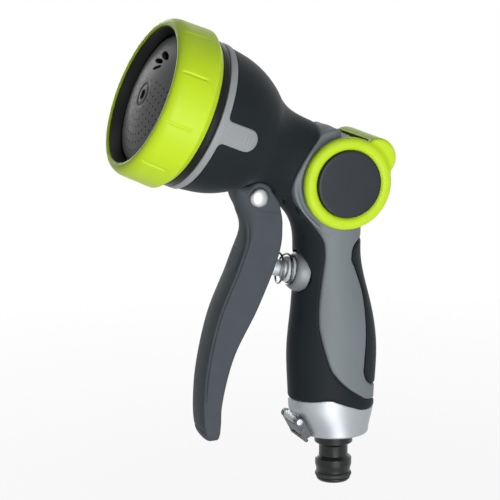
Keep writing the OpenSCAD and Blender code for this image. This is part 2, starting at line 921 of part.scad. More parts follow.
// Gland nut: a domed cup that holds the bush, screwed into the casting
module gland_nut() {
    bulge = gland_r - gland_cup_r - 1;
    bulge_len = gland_seat - 1.6;
    color(grey)
        at_valve()
            difference() {
                rotate_extrude()
                    polygon(concat(
                        [[0, 0]],
                        [for (a = [0 : 15 : 90])
                            [gland_r - bulge + bulge * sin(a), bulge_len - bulge_len * cos(a)]],
                        [[gland_r, gland_seat], [gland_thread_r, gland_seat], [gland_thread_r, gland_end],
                            [0, gland_end]]));
                translate([0, 0, -1])
                    cylinder(h = gland_seat - 0.5, r = gland_cup_r);
                translate([0, 0, -1])
                    cylinder(h = 2 * gland_end, r = stem_r + run);
                translate([0, 0, gland_end - 2.6])
                    cylinder(h = 2.2, r = stem_r + 2.2);
            }
}

module stem_bush() {
    color(steel)
        at_valve()
            translate([0, 0, bush_front])
                ring(bush_r, stem_r + run, gland_seat - 1.5 - bush_front);
}

module stem_seal() {
    color(rubber)
        at_valve()
            translate([0, 0, gland_end - 1.5])
                seal_ring(stem_r + run + 1, 1);
}

module valve_seat() {
    color(brass)
        at_valve()
            translate([0, 0, chamber_end])
                ring(valve_r - run, seat_bore, seat_end - chamber_end);
}

// Stem with its round nose against the trigger and its thin neck through the seat
module valve_stem() {
    nose = -stem_reach + stem_r + gap;
    neck_from = gland_end + 0.5;
    color(silver)
        at_valve() {
            translate([0, 0, nose])
                sphere(r = stem_r);
            translate([0, 0, nose])
                cylinder(h = neck_from - nose, r = stem_r);
            translate([0, 0, neck_from])
                cylinder(h = poppet_back - neck_from, r = valve_neck_r);
        }
}

module poppet() {
    color(brass)
        at_valve()
            translate([0, 0, poppet_front + seal_t])
                ring(poppet_r, valve_neck_r + run, poppet_t);
}

module poppet_seal() {
    color(rubber)
        at_valve()
            translate([0, 0, poppet_front])
                ring(poppet_r - 0.1, valve_neck_r + run, seal_t - run);
}

// Centre line of a coil: a straight end, the curls and a straight end
coil_rings = 8;
function coil_line(wire, turns, len) = let (n = coil_rings * turns) concat(
    [[0, 0]],
    [for (i = [0 : n]) [360 * i / coil_rings, wire + (len - 2 * wire) * i / n]],
    [[360 * turns, len]]);
function coil_point(p, r) = [r * cos(p[0]), r * sin(p[0]), p[1]];

// Least clear gap between two stretches of a coil more than half a curl apart
function coil_gap(line, r, wire) = min([
    for (i = [0 : len(line) - 1], k = [i + coil_rings / 2 + 2 : len(line) - 1])
        norm(coil_point(line[i], r) - coil_point(line[k], r))]) - wire;

// Coil spring as one unbroken tube along +Z
module coil(r, wire, turns, len) {
    sides = 6;
    line = coil_line(wire, turns, len);
    last = len(line) - 1;
    climb = atan2(len - 2 * wire, 2 * PI * r * turns);
    points = [for (i = [0 : last], k = [0 : sides - 1])
        let (a = line[i][0], up = i == 0 || i == last ? 90 : climb, c = 360 * k / sides,
            out = [cos(a), sin(a), 0], side = [-sin(up) * -sin(a), -sin(up) * cos(a), cos(up)])
        coil_point(line[i], r) + wire / 2 * (cos(c) * out + sin(c) * side)];
    walls = [for (i = [0 : last - 1], k = [0 : sides - 1], h = [0, 1])
        let (a = i * sides + k, b = i * sides + (k + 1) % sides)
        h == 0 ? [a, b, a + sides] : [b, b + sides, a + sides]];
    ends = [for (k = [1 : sides - 2], h = [0, 1])
        h == 0 ? [0, k + 1, k] : [last * sides, last * sides + k, last * sides + k + 1]];
    polyhedron(points = points, faces = concat(walls, ends), convexity = 8);
    echo(least_gap = coil_gap(line, r, wire));
}

module return_spring() {
    free_len = 0.69 * stem_reach;
    color(silver)
        at_valve()
            translate([0, 0, -free_len - fit])
                coil(spring_r, wire_d, spring_turns, free_len);
}

module valve_spring() {
    color(silver)
        at_valve()
            translate([0, 0, poppet_back + fit])
                coil(poppet_r - 1.2, valve_wire, valve_turns, valve_end - poppet_back - 2 * fit);
}

// Flow yoke: two domed rings joined by the thumb bar behind the housing
module flow_yoke() {
    bar_line = [for (a = [bar_from : 4 : bar_to])
        (ring_r - 0.4 + bar_h * pow(max(sin(180 * (a - bar_from) / (bar_to - bar_from)), 0), 0.6))
            * [cos(a), sin(a)]];
    color(green)
        difference() {
            union() {
                for (side = [1, -1])
                    at_knob(side)
                        rotate_extrude()
                            polygon(concat(
                                [[0, hub_in], [ring_r - 1, hub_in], [ring_r, hub_in + 1]],
                                [for (a = [0 : 15 : 75])
                                    [ring_r - 3.4 + 3.4 * cos(a), hub_in + 1 + (ring_h - 1) * sin(a)]],
                                [[cap_r + fit, hub_in + ring_h - 0.3], [cap_r + fit, hub_out],
                                    [0, hub_out]]));
                translate([knob_x, 0, knob_z])
                    across(bar_half)
                        polygon(concat([[0, 0]], bar_line));
            }
            at_side(knob_x, knob_z)
                cylinder(h = 2 * hub_in, r = bar_in, center = true);
            for (side = [1, -1])
                at_knob(side)
                    translate([0, 0, hub_out])
                        cylinder(h = ring_h * 2, r = cap_r + fit);
            at_side(knob_x, knob_z)
                cylinder(h = 4 * hub_in, r = hex_r + run, center = true, $fn = 6);
        }
}

// Plain cap of a knob ring, hollow over the screw head
module knob_cap(side) {
    color(black)
        at_knob(side)
            difference() {
                translate([0, 0, hub_out])
                    rotate_extrude()
                        polygon([[0, 0], [cap_r, 0], [cap_r, cap_t - 1], [cap_r - 0.3, cap_t - 0.3],
                            [cap_r - 1, cap_t], [0, cap_t]]);
                translate([0, 0, hub_out - 1])
                    cylinder(h = cap_t, r = hex_r + 1);
            }
}

module knob_cap_left() {
    knob_cap(1);
}

module knob_cap_right() {
    knob_cap(-1);
}

// Flow spindle: a drum with a waterway on its front, hexagons and seal grooves
module flow_spindle() {
    groove_at = housing_len / 2 - 4;
    color(brass)
        difference() {
            union() {
                at_side(knob_x, knob_z)
                    cylinder(h = 2 * hub_in - 2 * fit, r = spindle_r, center = true);
                at_side(knob_x, knob_z)
                    cylinder(h = 2 * hub_out, r = hex_r, center = true, $fn = 6);
            }
            translate([knob_x - spindle_r, 0, knob_z - spindle_r / 2])
                at_side(0, 0)
                    cylinder(h = 2 * pipe_bore, r = spindle_r, center = true);
            for (side = [1, -1])
                at_knob(side) {
                    translate([0, 0, groove_at - 1])
                        ring(spindle_r + 1, spindle_r - 1.6, 2);
                    translate([0, 0, hub_out - 7])
                        cylinder(h = 8, r = 2);
                }
        }
}

module spindle_seals() {
    color(rubber)
        for (side = [1, -1])
            at_knob(side)
                translate([0, 0, housing_len / 2 - 4])
                    seal_ring(spindle_r - 0.75, 0.75);
}

module yoke_screws() {
    hold = 6;
    shank_r = 2;
    head_r = 4.4;
    color(silver)
        for (side = [1, -1])
            at_knob(side) {
                translate([0, 0, hub_out - hold])
                    cylinder(h = hold + run, r = shank_r - run);
                translate([0, 0, hub_out + run])
                    cylinder(h = cap_t - 1.4, r1 = head_r, r2 = head_r - 0.8);
            }
}

// Spigot with its latch ridge, seal groove and clamped shoulder
module hose_spigot() {
    groove = oring_w * 0.9;
    shoulder = spigot_len + collar_floor + fit;
    color(black)
        difference() {
            rotate_extrude()
                polygon([[0, 0], [tip_r - 0.8, 0], [tip_r, 1], [tip_r, oring_z - oring_w],
                    [tip_r - 1.9, oring_z - oring_w], [tip_r - 1.9, oring_z + oring_w],
                    [tip_r, oring_z + oring_w], [tip_r, oring_z + oring_w + groove],
                    [ridge_r, ridge_z - ridge_len], [ridge_r, ridge_z],
                    [spigot_neck_r, ridge_z + 1.5], [spigot_neck_r, spigot_len - 6.6],
                    [plug_r - 1.4, spigot_len - 5.2], [plug_r - 1.4, shoulder],
                    [plug_r, shoulder], [plug_r, plug_top], [0, plug_top]]);
            translate([0, 0, -1])
                cylinder(h = plug_top + 2, r = bore_r);
        }
}

module spigot_seal() {
    color(rubber)
        translate([0, 0, oring_z])
            seal_ring(tip_r - 1.9 + oring_w, oring_w - 0.05);
}

module inlet_washer() {
    color(rubber)
        translate([0, 0, plug_top])
            ring(plug_r, bore_r + 0.6, washer_t - fit);
}

// Point of the lock's side view: along its plate from the pin, and out from the pin
function lock_at(along, out) =
    along * [sin(lock_lean), -cos(lock_lean)] - out * [cos(lock_lean), sin(lock_lean)];
function lock_bar(from, to, low, high) =
    [lock_at(from, low), lock_at(to, low), lock_at(to, high), lock_at(from, high)];

// Lock: a stamped plate rolled round its pin, with side flanges and a slot
module lock_stirrup() {
    face = knuckle_r - 0.2;
    under = face - lock_t;
    flange = 2.5;
    slot_half = lock_half - 2.8;
    slot_at = 0.67 * lock_len;
    slot_w = 2;
    color(steel)
        translate([lock_x, 0, lock_z])
            difference() {
                union() {
                    at_side(0, 0)
                        cylinder(h = lock_w, r = knuckle_r, center = true);
                    across(lock_half)
                        polygon(lock_bar(0, lock_len, face - flange, face));
                }
                across(lock_half - lock_t)
                    polygon(lock_bar(knuckle_r + gap, lock_len + 1, -2 * flange, under));
                across(lock_half + 1)
                    polygon(lock_bar(lock_len - 1.4, lock_len + 1, -2 * flange, under));
                at_side(0, 0)
                    cylinder(h = 2 * (lock_lug + gap), r = knuckle_r + gap, center = true);
                across(lock_lug + gap)
                    polygon(lock_bar(-2 * knuckle_r, knuckle_r + 2 * gap, -2 * flange, under));
                across(slot_half)
                    polygon(lock_bar(slot_at, slot_at + slot_w, 0, 2 * knuckle_r));
                at_side(0, 0)
                    cylinder(h = 2 * lock_w, r = lock_pin_r + run, center = true);
            }
}

module lock_pin() {
    out = lock_half + gap;
    color(silver)
        at_side(lock_x, lock_z) {
            cylinder(h = 2 * out, r = lock_pin_r, center = true);
            for (side = [0, 1])
                mirror([0, 0, side])
                    translate([0, 0, out])
                        cylinder(h = 0.5, r1 = lock_pin_r + 0.5, r2 = lock_pin_r);
        }
}

body_casting();
grip_cover();
palm_pad();
base_collar();
index_ring();
head_plate();
selector_seal();
seal_spring();
detent_ball();
detent_spring();
turret_screw();
trigger_pin();
gland_nut();
stem_bush();
stem_seal();
valve_seat();
hose_spigot();
spigot_seal();
inlet_washer();
lock_pin();
bezel_ring();
turret_shell();
spray_plate();
trigger_lever();
return_spring();
valve_stem();
poppet();
poppet_seal();
valve_spring();
flow_yoke();
knob_cap_left();
knob_cap_right();
flow_spindle();
spindle_seals();
yoke_screws();
lock_stirrup();
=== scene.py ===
import math
from functools import partial, reduce

import bmesh
import bpy
import numpy as np
from mathutils import Matrix, Vector


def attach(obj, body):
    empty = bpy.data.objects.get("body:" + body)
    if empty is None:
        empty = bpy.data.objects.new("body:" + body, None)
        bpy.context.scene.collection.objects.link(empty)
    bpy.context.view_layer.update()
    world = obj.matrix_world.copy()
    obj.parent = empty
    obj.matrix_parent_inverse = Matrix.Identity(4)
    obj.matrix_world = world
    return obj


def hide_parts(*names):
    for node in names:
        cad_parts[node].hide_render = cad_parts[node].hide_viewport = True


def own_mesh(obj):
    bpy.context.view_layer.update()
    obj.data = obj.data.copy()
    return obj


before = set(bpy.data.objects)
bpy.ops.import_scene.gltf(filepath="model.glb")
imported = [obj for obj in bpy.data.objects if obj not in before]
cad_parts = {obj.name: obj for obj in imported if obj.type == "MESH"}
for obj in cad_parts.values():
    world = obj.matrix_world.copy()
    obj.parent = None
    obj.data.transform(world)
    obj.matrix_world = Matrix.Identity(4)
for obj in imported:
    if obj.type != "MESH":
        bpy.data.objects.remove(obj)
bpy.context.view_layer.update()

bl_info = {
    "name": "Hose Spray Nozzle",
    "version": (1, 0, 0),
    "blender": (4, 5, 0),
    "location": "View3D > Sidebar > Nozzle",
    "description": "Dresses the packed spray nozzle with fine meshes, finishes and a studio stage",
    "category": "Object",
}

# One millimetre in the frame's metres
MM = 0.001

# Places and sizes that the pieces share with the solids, in millimetres
SPIGOT_LEN = 24.0
PLUG_TOP = 36.0
KNOB = (-2.0, 145.0)
CAP_SEAT = 18.9
HEAD_BASE = (-2.0, 149.2)
HEAD_AXIS = (-math.cos(math.radians(23)), math.sin(math.radians(23)))
VALVE_BASE = (-22.0, 102.9)
VALVE_AXIS = (math.cos(math.radians(13)), -math.sin(math.radians(13)))
PIVOT = np.array((-40.5, 139.2))
PIN_BORE = 2.55
TRIGGER_HALF = 8.2
TRIGGER_WEB = 3.2
LOCK = np.array((-21.0232, 32.4))
LOCK_LEAN = math.radians(28)
LOCK_BORE = 1.15
COVER_T = 2.2
EAR_ROOM = 8.5
LUG_HALF = 5.3
BELL_FRONT = 69.2
DOME_EDGE = 93.0
DOME_TOP = 98.4

# Edges of turned pieces that bend by more degrees than this stay crisp
CRISP = 40

# Spray plate in metres: length of its drills, radius of the first row of holes,
# and the X past which the fan openings take the place of holes
DRILL = 0.02
FIRST_ROW = 0.008
FAN_SIDE = 0.0075


def curve(points, steps):
    """Smooth curve through a list of points, with a number of steps a span."""
    p = np.asarray(points, float)
    q = np.vstack([p[:1], p, p[-1:]])
    t = np.arange(steps)[:, None] / steps
    spans = []
    for i in range(len(p) - 1):
        a, b, c, d = q[i:i + 4]
        spans.append((2 * b + (c - a) * t + (2 * a - 5 * b + 4 * c - d) * t ** 2
                      + (3 * b - a - 3 * c + d) * t ** 3) / 2)
    return np.vstack(spans + [p[-1:]])


class Zone:
    """Closed outline in X and Z. A call gives the distance to it, below zero inside."""

    def __init__(self, *parts):
        self.points = np.vstack([np.atleast_2d(p) for p in parts])

    def __call__(self, x, z):
        best, inside = np.inf, False
        for (ax, az), (bx, bz) in zip(self.points, np.roll(self.points, -1, axis=0)):
            ex, ez = bx - ax, bz - az
            length = ex * ex + ez * ez
            if length < 1e-12:
                continue
            px, pz = x - ax, z - az
            t = np.clip((px * ex + pz * ez) / length, 0, 1)
            best = np.minimum(best, (px - t * ex) ** 2 + (pz - t * ez) ** 2)
            if abs(ez) > 1e-9:
                inside = inside ^ (((az > z) != (bz > z)) & (px < ex * pz / ez))
        return np.where(inside, -1.0, 1.0) * np.sqrt(best)


def soft_min(a, b, k):
    """Union of two fields, with a fillet about k wide where they meet."""
    h = np.maximum(k - np.abs(a - b), 0) / k
    return np.minimum(a, b) - h * h * k / 4


def soft_max(a, b, k):
    """What two fields share, with its edge rounded over about k."""
    return -soft_min(-a, -b, k)


def shared(*fields):
    """What several fields share, with sharp edges."""
    return reduce(np.maximum, fields)


def rise(x, low, high):
    """Smooth step from 0 at low to 1 at high."""
    t = np.clip((x - low) / (high - low), 0, 1)
    return t * t * (3 - 2 * t)


# Grip sections from the foot up: height, centre, half depth, half width
STATIONS = np.array(((24, 0, 16.2, 16.2), (38, -1.5, 20.6, 16.2), (62, -1.4, 21.6, 16.5),
                     (112, -4.3, 15.8, 14.6), (140, -10, 27, 15)), float)

# Bell and neck: place along the head axis and radius
BELL = curve(((69.2, 33.6), (58.6, 32.1), (50.6, 29.5), (43.6, 25.7), (37.6, 21.1),
              (31.6, 18.2), (24.6, 16.9), (14.6, 16.4)), 6)[::-1]
BELL_SLOPE = np.gradient(BELL[:, 1], BELL[:, 0])

# Side outlines of the bare panel, the palm pad and the collar
PANEL = Zone(curve(((-11, 178), (-12, 168), (-21, 157.3), (-26.7, 144), (-22.8, 133.4), (-12.2, 120.5),
                    (-10.2, 111.5), (-11.6, 98), (-12.7, 86), (-12.4, 75), (-8.5, 59.6), (-4.6, 53.2),
                    (1.2, 47.6), (8.2, 42.9), (12.4, 40.7), (24, 38.2)), 5),
             ((43.2, 38.2), (43.2, 178)))
PAD = Zone(curve(((31.6, 118.5), (8, 116.6), (3.2, 109.4), (5.6, 103), (9.6, 91), (10.8, 74), (9.7, 59),
                  (9.6, 53.6), (12.6, 48.9), (20, 46.3), (43.2, 45.7)), 5))
COLLAR = Zone(curve(((-43.2, 41.5), (-19, 41.7), (-8.7, 42.7), (-4.4, 41.5), (2.6, 38.7), (13, 36),
                     (43.2, 35.6)), 6), ((43.2, 0), (-43.2, 0)))

# Trigger outline in hundredths of its length: the front from the lip to the tip, and the back up again
HUNDREDTH = 1.136
TRIGGER_FRONT = PIVOT + HUNDREDTH * curve(
    ((-9.9, 4.75), (-9.1, -0.5), (-7.3, -5.46), (-5.1, -14.96), (-9.6, -28.79), (-17.7, -47.71),
     (-22.7, -68.66), (-24.1, -85.39), (-23.2, -95.6), (-20.6, -100)), 7)
TRIGGER_BACK = PIVOT + HUNDREDTH * curve(
    ((-16.9, -99.4), (-16.2, -92), (-15.4, -82.75), (-10.2, -64.26), (0, -44.89), (8.8, -23.77),
     (10.2, -11.44), (8.6, -2.29)), 7)
EAR_TOP = PIVOT + 6.8 * np.array([(math.cos(math.radians(a)), math.sin(math.radians(a)))
                                  for a in range(20, 126, 7)])
LUG_OUTLINE = Zone(((-45.4, 139.2), (-35.6, 138.2), (-14.1, 128), KNOB, (-36.5, 165), (-45.4, 153.2)))


def grip_section(z):
    """Centre, half depth and half width of the grip at a height."""
    i = np.clip(np.searchsorted(STATIONS[:, 0], z, side="right") - 1, 0, len(STATIONS) - 2)
    t = np.clip((z - STATIONS[i, 0]) / (STATIONS[i + 1, 0] - STATIONS[i, 0]), 0, 1)
    e = np.where(i == len(STATIONS) - 2, t ** 3, t * t * (3 - 2 * t))
    centre, deep, wide = (STATIONS[i, k] + (STATIONS[i + 1, k] - STATIONS[i, k]) * e for k in (1, 2, 3))
    bow = np.where(i == len(STATIONS) - 3, 0.75 * np.sin(np.pi * t) ** 2, 0)
    return centre + bow, deep, wide


def grip_field(x, y, z):
    """Oval handle with its flared crown."""
    centre, deep, wide = grip_section(z)
    u, v = (x - centre) / deep, y / wide
    near = np.hypot(u, v)
    side = near * (near - 1) / (np.hypot(u / deep, v / wide) + 1e-6)
    return soft_max(soft_max(side, z - 148, 5), SPIGOT_LEN - z, 0.8)


def gap_to(x, z, spot):
    """Distance from a point of the middle plane."""
    return np.hypot(x - spot[0], z - spot[1])


def on_axis(x, z, base, axis):
    """Distance off an axis of the middle plane, and place along it."""
    dx, dz = x - base[0], z - base[1]
    return dx * axis[1] - dz * axis[0], dx * axis[0] + dz * axis[1]


def bell_field(x, y, z):
    """Bell that narrows to the neck."""
    up, along = on_axis(x, z, HEAD_BASE, HEAD_AXIS)
    radius = np.interp(along, BELL[:, 0], BELL[:, 1])
    slope = np.interp(along, BELL[:, 0], BELL_SLOPE)
    wall = (np.hypot(up, y) - radius) / np.hypot(1, slope)
    return soft_max(soft_max(wall, along - BELL_FRONT, 0.8), -4 - along, 3)


def envelope(x, y, z):
    """Outer form of the body: handle, bell, knob housing and its front cheek."""
    rho, half = gap_to(x, z, KNOB), np.abs(y)
    barrel = soft_max(rho - 20.1, half - 16.8, 1.2)
    cheek = soft_max(soft_max(rho - 24.4, half - 13.7, 1.8), x - KNOB[0], 4)
    fade = 2.5 * rise(z, 149, 158) + 2.5 * rise(x, -16, -7)
    rim = np.hypot(rho - 23.5, half - 14.1) - 1.25 + fade
    body = soft_min(grip_field(x, y, z), bell_field(x, y, z), 9)
    return soft_min(soft_min(soft_min(body, cheek, 2.5), rim, 0.8), barrel, 1.5)


def ear_room(x, y, z):
    """Pocket in which the trigger's ears turn."""
    dx, dz = x - PIVOT[0], z - PIVOT[1]
    away = np.hypot(dx, dz)
    side = np.minimum(away - 7.1, np.maximum(away - 12.8, dz - 3.4))
    front = shared(-13.8 - dx, dx, -12.8 - dz, dz - 7.1)
    return np.maximum(np.minimum(side, front), np.abs(y) - EAR_ROOM)


def lug_field(x, y, z):
    """Lug that carries the trigger pin."""
    side = np.minimum(gap_to(x, z, PIVOT) - 4.9, LUG_OUTLINE(x, z))
    return soft_max(side, np.abs(y) - LUG_HALF, 0.5)


def gland_room(x, y, z, depth):
    """Room for the gland nut at the front of the grip."""
    under, along = on_axis(x, z, VALVE_BASE, VALVE_AXIS)
    return np.maximum(np.hypot(under, y) - 9.8, along - depth)


def cover_field(size, x, y, z):
    """Soft cover over the bell, the neck, the front of the grip and the pin's lug."""
    seam, lift = size.seam / MM, size.cover_lift / MM
    body, pocket = envelope(x, y, z), ear_room(x, y, z)
    lining = 7 * (1 - rise(pocket, 1.2, 2.4))
    solid = soft_max(body - lift, -(body + COVER_T + lining), 0.4)
    for zone, edge in ((PANEL, 1.2), (PAD, 1.0), (COLLAR, 1.0)):
        solid = soft_max(solid, seam - zone(x, z), edge)
    solid = np.minimum(soft_max(solid, -pocket, 0.8), lug_field(x, y, z))
    solid = soft_max(solid, -gland_room(x, y, z, 12), 0.8)
    return np.maximum(solid, PIN_BORE - gap_to(x, z, PIVOT))


def casting_field(size, x, y, z):
    """Casting: the bare panel, saddle and cheek and the core under the cover."""
    body, seam = envelope(x, y, z), size.seam / MM
    bare = soft_max(soft_max(body, PANEL(x, z), 1.0), seam - PAD(x, z), 1.0)
    core = np.maximum(body + COVER_T + 0.15, SPIGOT_LEN + 2.1 - z)
    solid = np.maximum(np.minimum(bare, core), 2.2 - ear_room(x, y, z))
    up, along = on_axis(x, z, HEAD_BASE, HEAD_AXIS)
    hollow = shared(body + 5, 36 - along, 8 - np.hypot(up, y))
    under, deep = on_axis(x, z, VALVE_BASE, VALVE_AXIS)
    axle = np.hypot(under, y)
    valve = np.minimum(np.maximum(axle - 7.65, deep - 10.5), np.maximum(axle - 6, deep - 30.3))
    inlet = np.maximum(np.hypot(x, y) - 10.5, z - PLUG_TOP - 2)
    spindle = gap_to(x, z, KNOB) - 8.05
    return shared(solid, -hollow, -valve, -inlet, -spindle, -gland_room(x, y, z, 6.05))


def pad_field(size, x, y, z):
    """Palm pad, standing a little over the panel round it."""
    body, seam = envelope(x, y, z), size.seam / MM
    solid = soft_max(body - size.pad_lift / MM, -(body + COVER_T), 0.4)
    solid = soft_max(solid, PAD(x, z) + seam / 2, 1.8)
    return soft_max(solid, seam - COLLAR(x, z), 1.0)


def collar_field(x, y, z):
    """Base collar with its floor and the lug of the lock."""
    body = envelope(x, y, z)
    dx, dz, half = x - LOCK[0], z - LOCK[1], np.abs(y)
    rho = np.hypot(dx, dz)
    web = shared(-dx, dx - 5, np.abs(dz) - 2)
    lug = soft_max(np.minimum(rho - 2, web), half - 5.7, 0.5)
    solid = soft_min(soft_max(body, COLLAR(x, z), 0.4), lug, 0.6)
    knuckles = shared(rho - 2.3, 5.75 - half, half - 10.2)
    inside = np.maximum(body + COVER_T, SPIGOT_LEN + 2 - z)
    return shared(solid, -knuckles, -inside, 9.2 - np.hypot(x, y), LOCK_BORE - rho)


def yoke_field(x, y, z):
    """Flow yoke: two round rings, their hubs and the thumb bar between them."""
    bore, face = 15.5, 17.1
    dx, dz, half = x - KNOB[0], z - KNOB[1], np.abs(y)
    rho, angle = np.hypot(dx, dz), np.degrees(np.arctan2(dz, dx))
    over_x, over_y = np.abs(rho - 18.2) - 0.35, np.abs(half - 18.7) - 0.2
    ring = (np.hypot(np.maximum(over_x, 0), np.maximum(over_y, 0))
            + np.minimum(np.maximum(over_x, over_y), 0) - 2.65)
    ring = shared(ring, bore - rho, face - half)
    hub = np.maximum(rho - 17, np.abs(half - 18) - 0.9)
    arch = np.sin(np.pi * np.clip((angle - 12) / 49, 0, 1))
    bar = soft_max(rho - (20.7 + 6.6 * arch ** 0.6), half - 19.9, 2.0)
    slope = np.minimum(angle - 11, 62 - angle) * np.pi / 180 * rho
    solid = soft_min(np.minimum(ring, hub), soft_max(bar, -slope, 1.5), 1.6)
    solid = soft_max(solid, -np.maximum(rho - 22, half - face), 0.5)
    return shared(solid, -np.maximum(rho - bore, CAP_SEAT - half), 5.05 - rho)


def trigger_field(size, x, y, z):
    """Trigger lever: a channel with a beaded front edge, two ears and the stem's rib."""
    outline = Zone(TRIGGER_FRONT, TRIGGER_BACK, EAR_TOP)(x, z)
    away = np.gradient(TRIGGER_FRONT, axis=0)
    away = np.stack((-away[:, 1], away[:, 0]), 1) / np.linalg.norm(away, axis=1)[:, None]
    inner = TRIGGER_FRONT + TRIGGER_WEB * away
    above = PIVOT[1] + 30
    channel = Zone(inner, ((0, inner[-1][1]), (0, above), (inner[0][0], above)))
    ahead = Zone(TRIGGER_FRONT, ((40, TRIGGER_FRONT[-1][1]), (40, 170), (TRIGGER_FRONT[0][0], 170)))
    bead, groove = size.bead / MM, size.bead_step / MM
    half, depth, crown = np.abs(y), -ahead(x, z), (y / TRIGGER_HALF) ** 2
    ear_line = z + 0.196 * (x + 42.1) - 133.9
    along = rise(z, 42, 50) * (1 - rise(z, 121, 131))
    step = groove * rise(depth, bead, bead + 0.5) * along
    dip = 0.8 * np.exp(-((depth - bead - 0.5) / 0.42) ** 2) * along + 2 * (1 - rise(z, 25.6, 31))
    brow = 1.1 + 7 * rise(z, 112, 130) * (1 - 0.55 * rise(z, 134, 142)) * (1 - rise(depth, 5, 11))
    fold = 0.3 * np.exp(-(ear_line / 0.35) ** 2) * rise(depth, 5, 8)
    side = np.maximum(outline, 0.5 * crown - depth)
    solid = soft_max(side, half - TRIGGER_HALF + step + dip + fold, brow)
    solid = soft_max(solid, PIVOT[1] - 113.4 + 1.8 * crown - z, 1.2)
    solid = soft_max(solid, -np.maximum(channel(x, z), half - 5.6), 0.5)
    # Rib whose leaning face pushes the stem
    cos_rib, sin_rib = 0.9397, 0.3420
    px, pz = x + 36.616, z - 106.274
    level = np.abs(px * sin_rib + pz * cos_rib)
    rib = shared(px * cos_rib - pz * sin_rib, level - 4.8, outline, half - 5.7)
    solid = soft_min(solid, rib, 0.6)
    # Slanting nick at the foot of the front
    cos_nick, sin_nick = 0.819, 0.574
    nx, nz = x + 68, z - 31.3
    notch = np.maximum(np.abs(nx * cos_nick + nz * sin_nick) - 1.4,
                       np.abs(nz * cos_nick - nx * sin_nick) - 0.55)
    solid = soft_max(solid, -notch, 0.5)
    return np.maximum(solid, PIN_BORE - gap_to(x, z, PIVOT))


def lock_field(x, y, z):
    """Lock: a stamped plate with two knuckles, side flanges, a slot, two dimples and a rolled tail."""
    dx, dz, half = x - LOCK[0], z - LOCK[1], np.abs(y)
    along = dx * math.sin(LOCK_LEAN) - dz * math.cos(LOCK_LEAN)
    out = -dx * math.cos(LOCK_LEAN) - dz * math.sin(LOCK_LEAN)
    rho = np.hypot(dx, dz)
    plate = np.maximum(np.abs(out - 1.35) - 0.45, np.abs(along - 5.3) - 5.3)
    flange = shared(np.abs(out + 0.4) - 2.2, np.abs(along - 4.2) - 5.2, 8.4 - half,
                    np.where(along < 0, np.hypot(along, out) - 2.2, -9))
    side = np.minimum(np.minimum(plate, flange), rho - 2)
    solid = soft_max(side, half - 9.3, 0.5)
    tail = np.maximum(np.hypot(along - 10, out - 1.05) - 0.75, half - 9.2)
    solid = soft_min(solid, tail, 0.4)
    room = np.minimum(rho - 2.3, np.maximum(np.abs(along) - 2.6, out - 0.9))
    solid = soft_max(solid, -np.maximum(room, half - 6), 0.3)
    solid = soft_max(solid, -np.maximum(np.abs(along - 8.1) - 0.9, half - 6.5), 0.4)
    dimple = np.sqrt((along - 4) ** 2 + (out - 0.6) ** 2 + (half - 9.8) ** 2) - 0.9
    solid = soft_max(solid, -dimple, 0.3)
    return np.maximum(solid, LOCK_BORE - rho)


def index_field(x, y, z):
    """Index ring with its pointer tab, in the head's own frame."""
    tab_half, tab_end, turn = 5.3, 56.8, math.radians(3.6)
    fillet, shoulder = 2.2, 67.1
    r = np.hypot(x, y)
    x, y = x * math.cos(turn) - y * math.sin(turn), x * math.sin(turn) + y * math.cos(turn)
    bell = np.interp(z, BELL[:, 0], BELL[:, 1])
    ring = soft_max(np.abs(z - 71.05) - 1.75, np.abs(r - 31.7) - 2.6, 0.7)
    end = np.hypot(x, np.minimum(z - tab_end, 0)) - tab_half
    plan = np.maximum(soft_max(end, z - 72, 0.5), y)
    over = np.abs(x) - tab_half - fillet
    corner = np.hypot(over, z - shoulder) - fillet
    web = shared(over, shoulder - z, -corner, z - 69.8)
    plan = np.minimum(plan, np.maximum(web, y))
    ribs = np.abs((z - 54.2 + 0.9) % 1.8 - 0.9) - 0.3
    ribs = shared(ribs, np.abs(z - 56) - 2.7, np.abs(x) - 2.2)
    proud = 0.75 + 0.22 * (1 - rise(ribs, -0.25, 0.25))
    tab = soft_max(plan, r - np.minimum(bell + proud, 34.2), 0.7)
    return soft_min(ring, np.maximum(tab, bell + 0.05 - r), 0.5)


